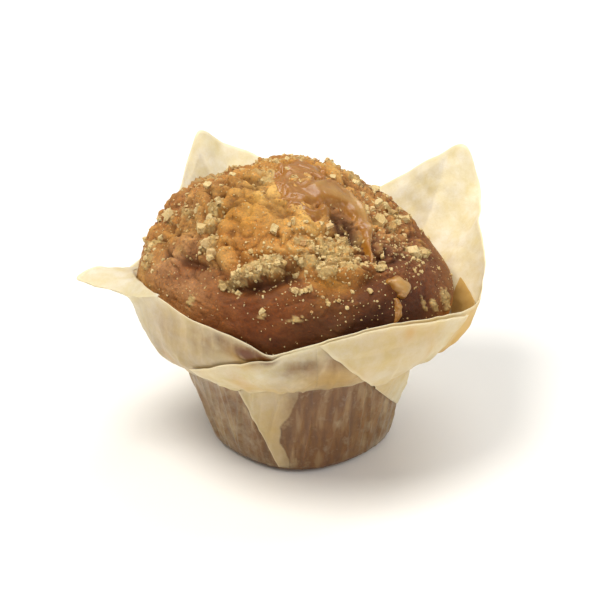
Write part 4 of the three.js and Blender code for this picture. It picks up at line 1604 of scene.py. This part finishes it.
# %% Paper material
def paper_material():
    material, tree = new_material("greaseproof_paper")
    stored = node(tree, "ShaderNodeAttribute", attribute_name="masks")
    masks = node(tree, "ShaderNodeSeparateColor", {"Color": stored.outputs["Color"]}).outputs
    golden = stored.outputs["Alpha"]
    place = node(tree, "ShaderNodeTexCoord").outputs["Object"]
    upright = node(tree, "ShaderNodeMapping", {"Vector": place, "Scale": (1, 1, 0.12)})
    cloud = {"Vector": place, "Scale": per(6), "Detail": 4, "Roughness": 0.65}
    cloud = node(tree, "ShaderNodeTexNoise", cloud)
    mottle = {"Vector": place, "Scale": per(3.2), "Detail": 3, "Roughness": 0.6}
    mottle = node(tree, "ShaderNodeTexNoise", mottle)
    fibre = {"Vector": place, "Scale": per(0.9), "Detail": 4, "Roughness": 0.7, "Distortion": 2.0}
    fibre = node(tree, "ShaderNodeTexNoise", fibre)
    streaks = {"Vector": upright, "Scale": per(2.6), "Detail": 3, "Roughness": 0.5}
    streaks = node(tree, "ShaderNodeTexNoise", streaks)

    clouded = node(tree, "ShaderNodeMapRange", [cloud, 0.35, 0.65, 0.0, 1.0])
    fibrous = node(tree, "ShaderNodeMapRange", [fibre, 0.52, 0.68, 0.0, 0.4])
    paper = {0: clouded, 6: linear("#ebdfc3"), 7: linear("#e0cd9a")}
    paper = node(tree, "ShaderNodeMix", paper, data_type="RGBA")
    paper = node(tree, "ShaderNodeMix", {0: fibrous, 6: paper, 7: linear("#dac490")}, data_type="RGBA")
    # golden: oven yellowing, and dark gold as painted shade on the paper tucked under the flap
    paper = node(tree, "ShaderNodeMix", {0: golden, 6: paper, 7: linear("#cba053")}, data_type="RGBA")

    mottled = node(tree, "ShaderNodeMapRange", [mottle, 0.35, 0.65, 0.0, 1.0])
    # the light and dark streaks follow the ridges of the bump below: partly uneven soaking, partly a
    # painted highlight on the ridges and painted shade between them
    light = node(tree, "ShaderNodeMapRange", [streaks, 0.52, 0.68, 0.0, 0.55])
    dark = node(tree, "ShaderNodeMapRange", [streaks, 0.46, 0.34, 0.0, 0.5])
    soaked = node(tree, "ShaderNodeMapRange", [masks["Red"], 1.0, 1.4, 0.0, 1.0])
    brown = {0: mottled, 6: linear("#704922"), 7: linear("#855e32")}
    brown = node(tree, "ShaderNodeMix", brown, data_type="RGBA")
    brown = node(tree, "ShaderNodeMix", {0: light, 6: brown, 7: linear("#b3956b")}, data_type="RGBA")
    brown = node(tree, "ShaderNodeMix", {0: dark, 6: brown, 7: linear("#563922")}, data_type="RGBA")
    brown = node(tree, "ShaderNodeMix", {0: soaked, 6: brown, 7: linear("#6a3810")}, data_type="RGBA")

    uneven = node(tree, "ShaderNodeMapRange", [mottle, 0.3, 0.7, 0.75, 1.25])
    soak = node(tree, "ShaderNodeMath", [masks["Red"], uneven], operation="MULTIPLY")
    soak = node(tree, "ShaderNodeMapRange", [soak, 0.0, 1.0, 0.0, 1.0])
    oily = node(tree, "ShaderNodeMapRange", [masks["Blue"], 0.0, 1.0, 0.0, 0.75])
    # bare edges and folds: their own unsoaked cream and a painted highlight along them
    bare_edge_and_highlight = node(tree, "ShaderNodeMapRange", [masks["Green"], 0.0, 1.0, 0.0, 0.7])
    colour = node(tree, "ShaderNodeMix", {0: soak, 6: paper, 7: brown}, data_type="RGBA")
    colour = node(tree, "ShaderNodeMix", {0: oily, 6: colour, 7: linear("#cf9540")}, data_type="RGBA")
    colour = node(tree, "ShaderNodeMix", {0: bare_edge_and_highlight, 6: colour, 7: linear("#efdfb6")}, data_type="RGBA")

    wet = node(tree, "ShaderNodeMapRange", [masks["Red"], 0.6, 1.0, 0.0, 1.0])
    ridges = node(tree, "ShaderNodeMath", [streaks, wet], operation="MULTIPLY")
    normal = node(tree, "ShaderNodeBump", {"Height": ridges, "Distance": 0.6 * MM, "Strength": 0.7})
    normal = {"Height": mottle, "Distance": 0.35 * MM, "Strength": 0.5, "Normal": normal}
    normal = node(tree, "ShaderNodeBump", normal)
    normal = {"Height": fibre, "Distance": 0.06 * MM, "Strength": 0.6, "Normal": normal}
    normal = node(tree, "ShaderNodeBump", normal)
    shine = node(tree, "ShaderNodeMapRange", [masks["Red"], 0.0, 1.0, 0.55, 0.28])
    gloss = node(tree, "ShaderNodeMapRange", [masks["Red"], 0.0, 1.0, 0.4, 0.55])
    sheet = {"Base Color": colour, "Normal": normal, "Roughness": shine, "IOR": 1.5}
    sheet |= {"Specular IOR Level": gloss}
    sheet |= {"Subsurface Weight": 0.25, "Subsurface Scale": 1.5 * MM}
    sheet |= {"Subsurface Radius": (1.0, 0.85, 0.6)}
    surface = node(tree, "ShaderNodeBsdfPrincipled", sheet)
    node(tree, "ShaderNodeOutputMaterial", {"Surface": surface}, is_active_output=True)
    return material


def give_thickness(piece, thickness_mm):
    wall = piece.modifiers.new("paper_thickness", "SOLIDIFY")
    wall.thickness = thickness_mm * MM
    wall.offset = 0
    wall.use_even_offset = False
    apply_modifiers(piece)
    piece.data.shade_smooth()


paper_finish = paper_material()
sheet = finish_piece(build_sheet(), "paper_sheet", paper_finish, "paper_wrap")
give_thickness(sheet, PAPER_THICKNESS)
for pleat_name in PLEATS:
    layer = finish_piece(build_pleat(pleat_name), pleat_name, paper_finish, "paper_wrap")
    give_thickness(layer, PAPER_THICKNESS)
ledge = finish_piece(build_ledge(), "corner_ledge", paper_finish, "paper_wrap")
give_thickness(ledge, PAPER_THICKNESS)
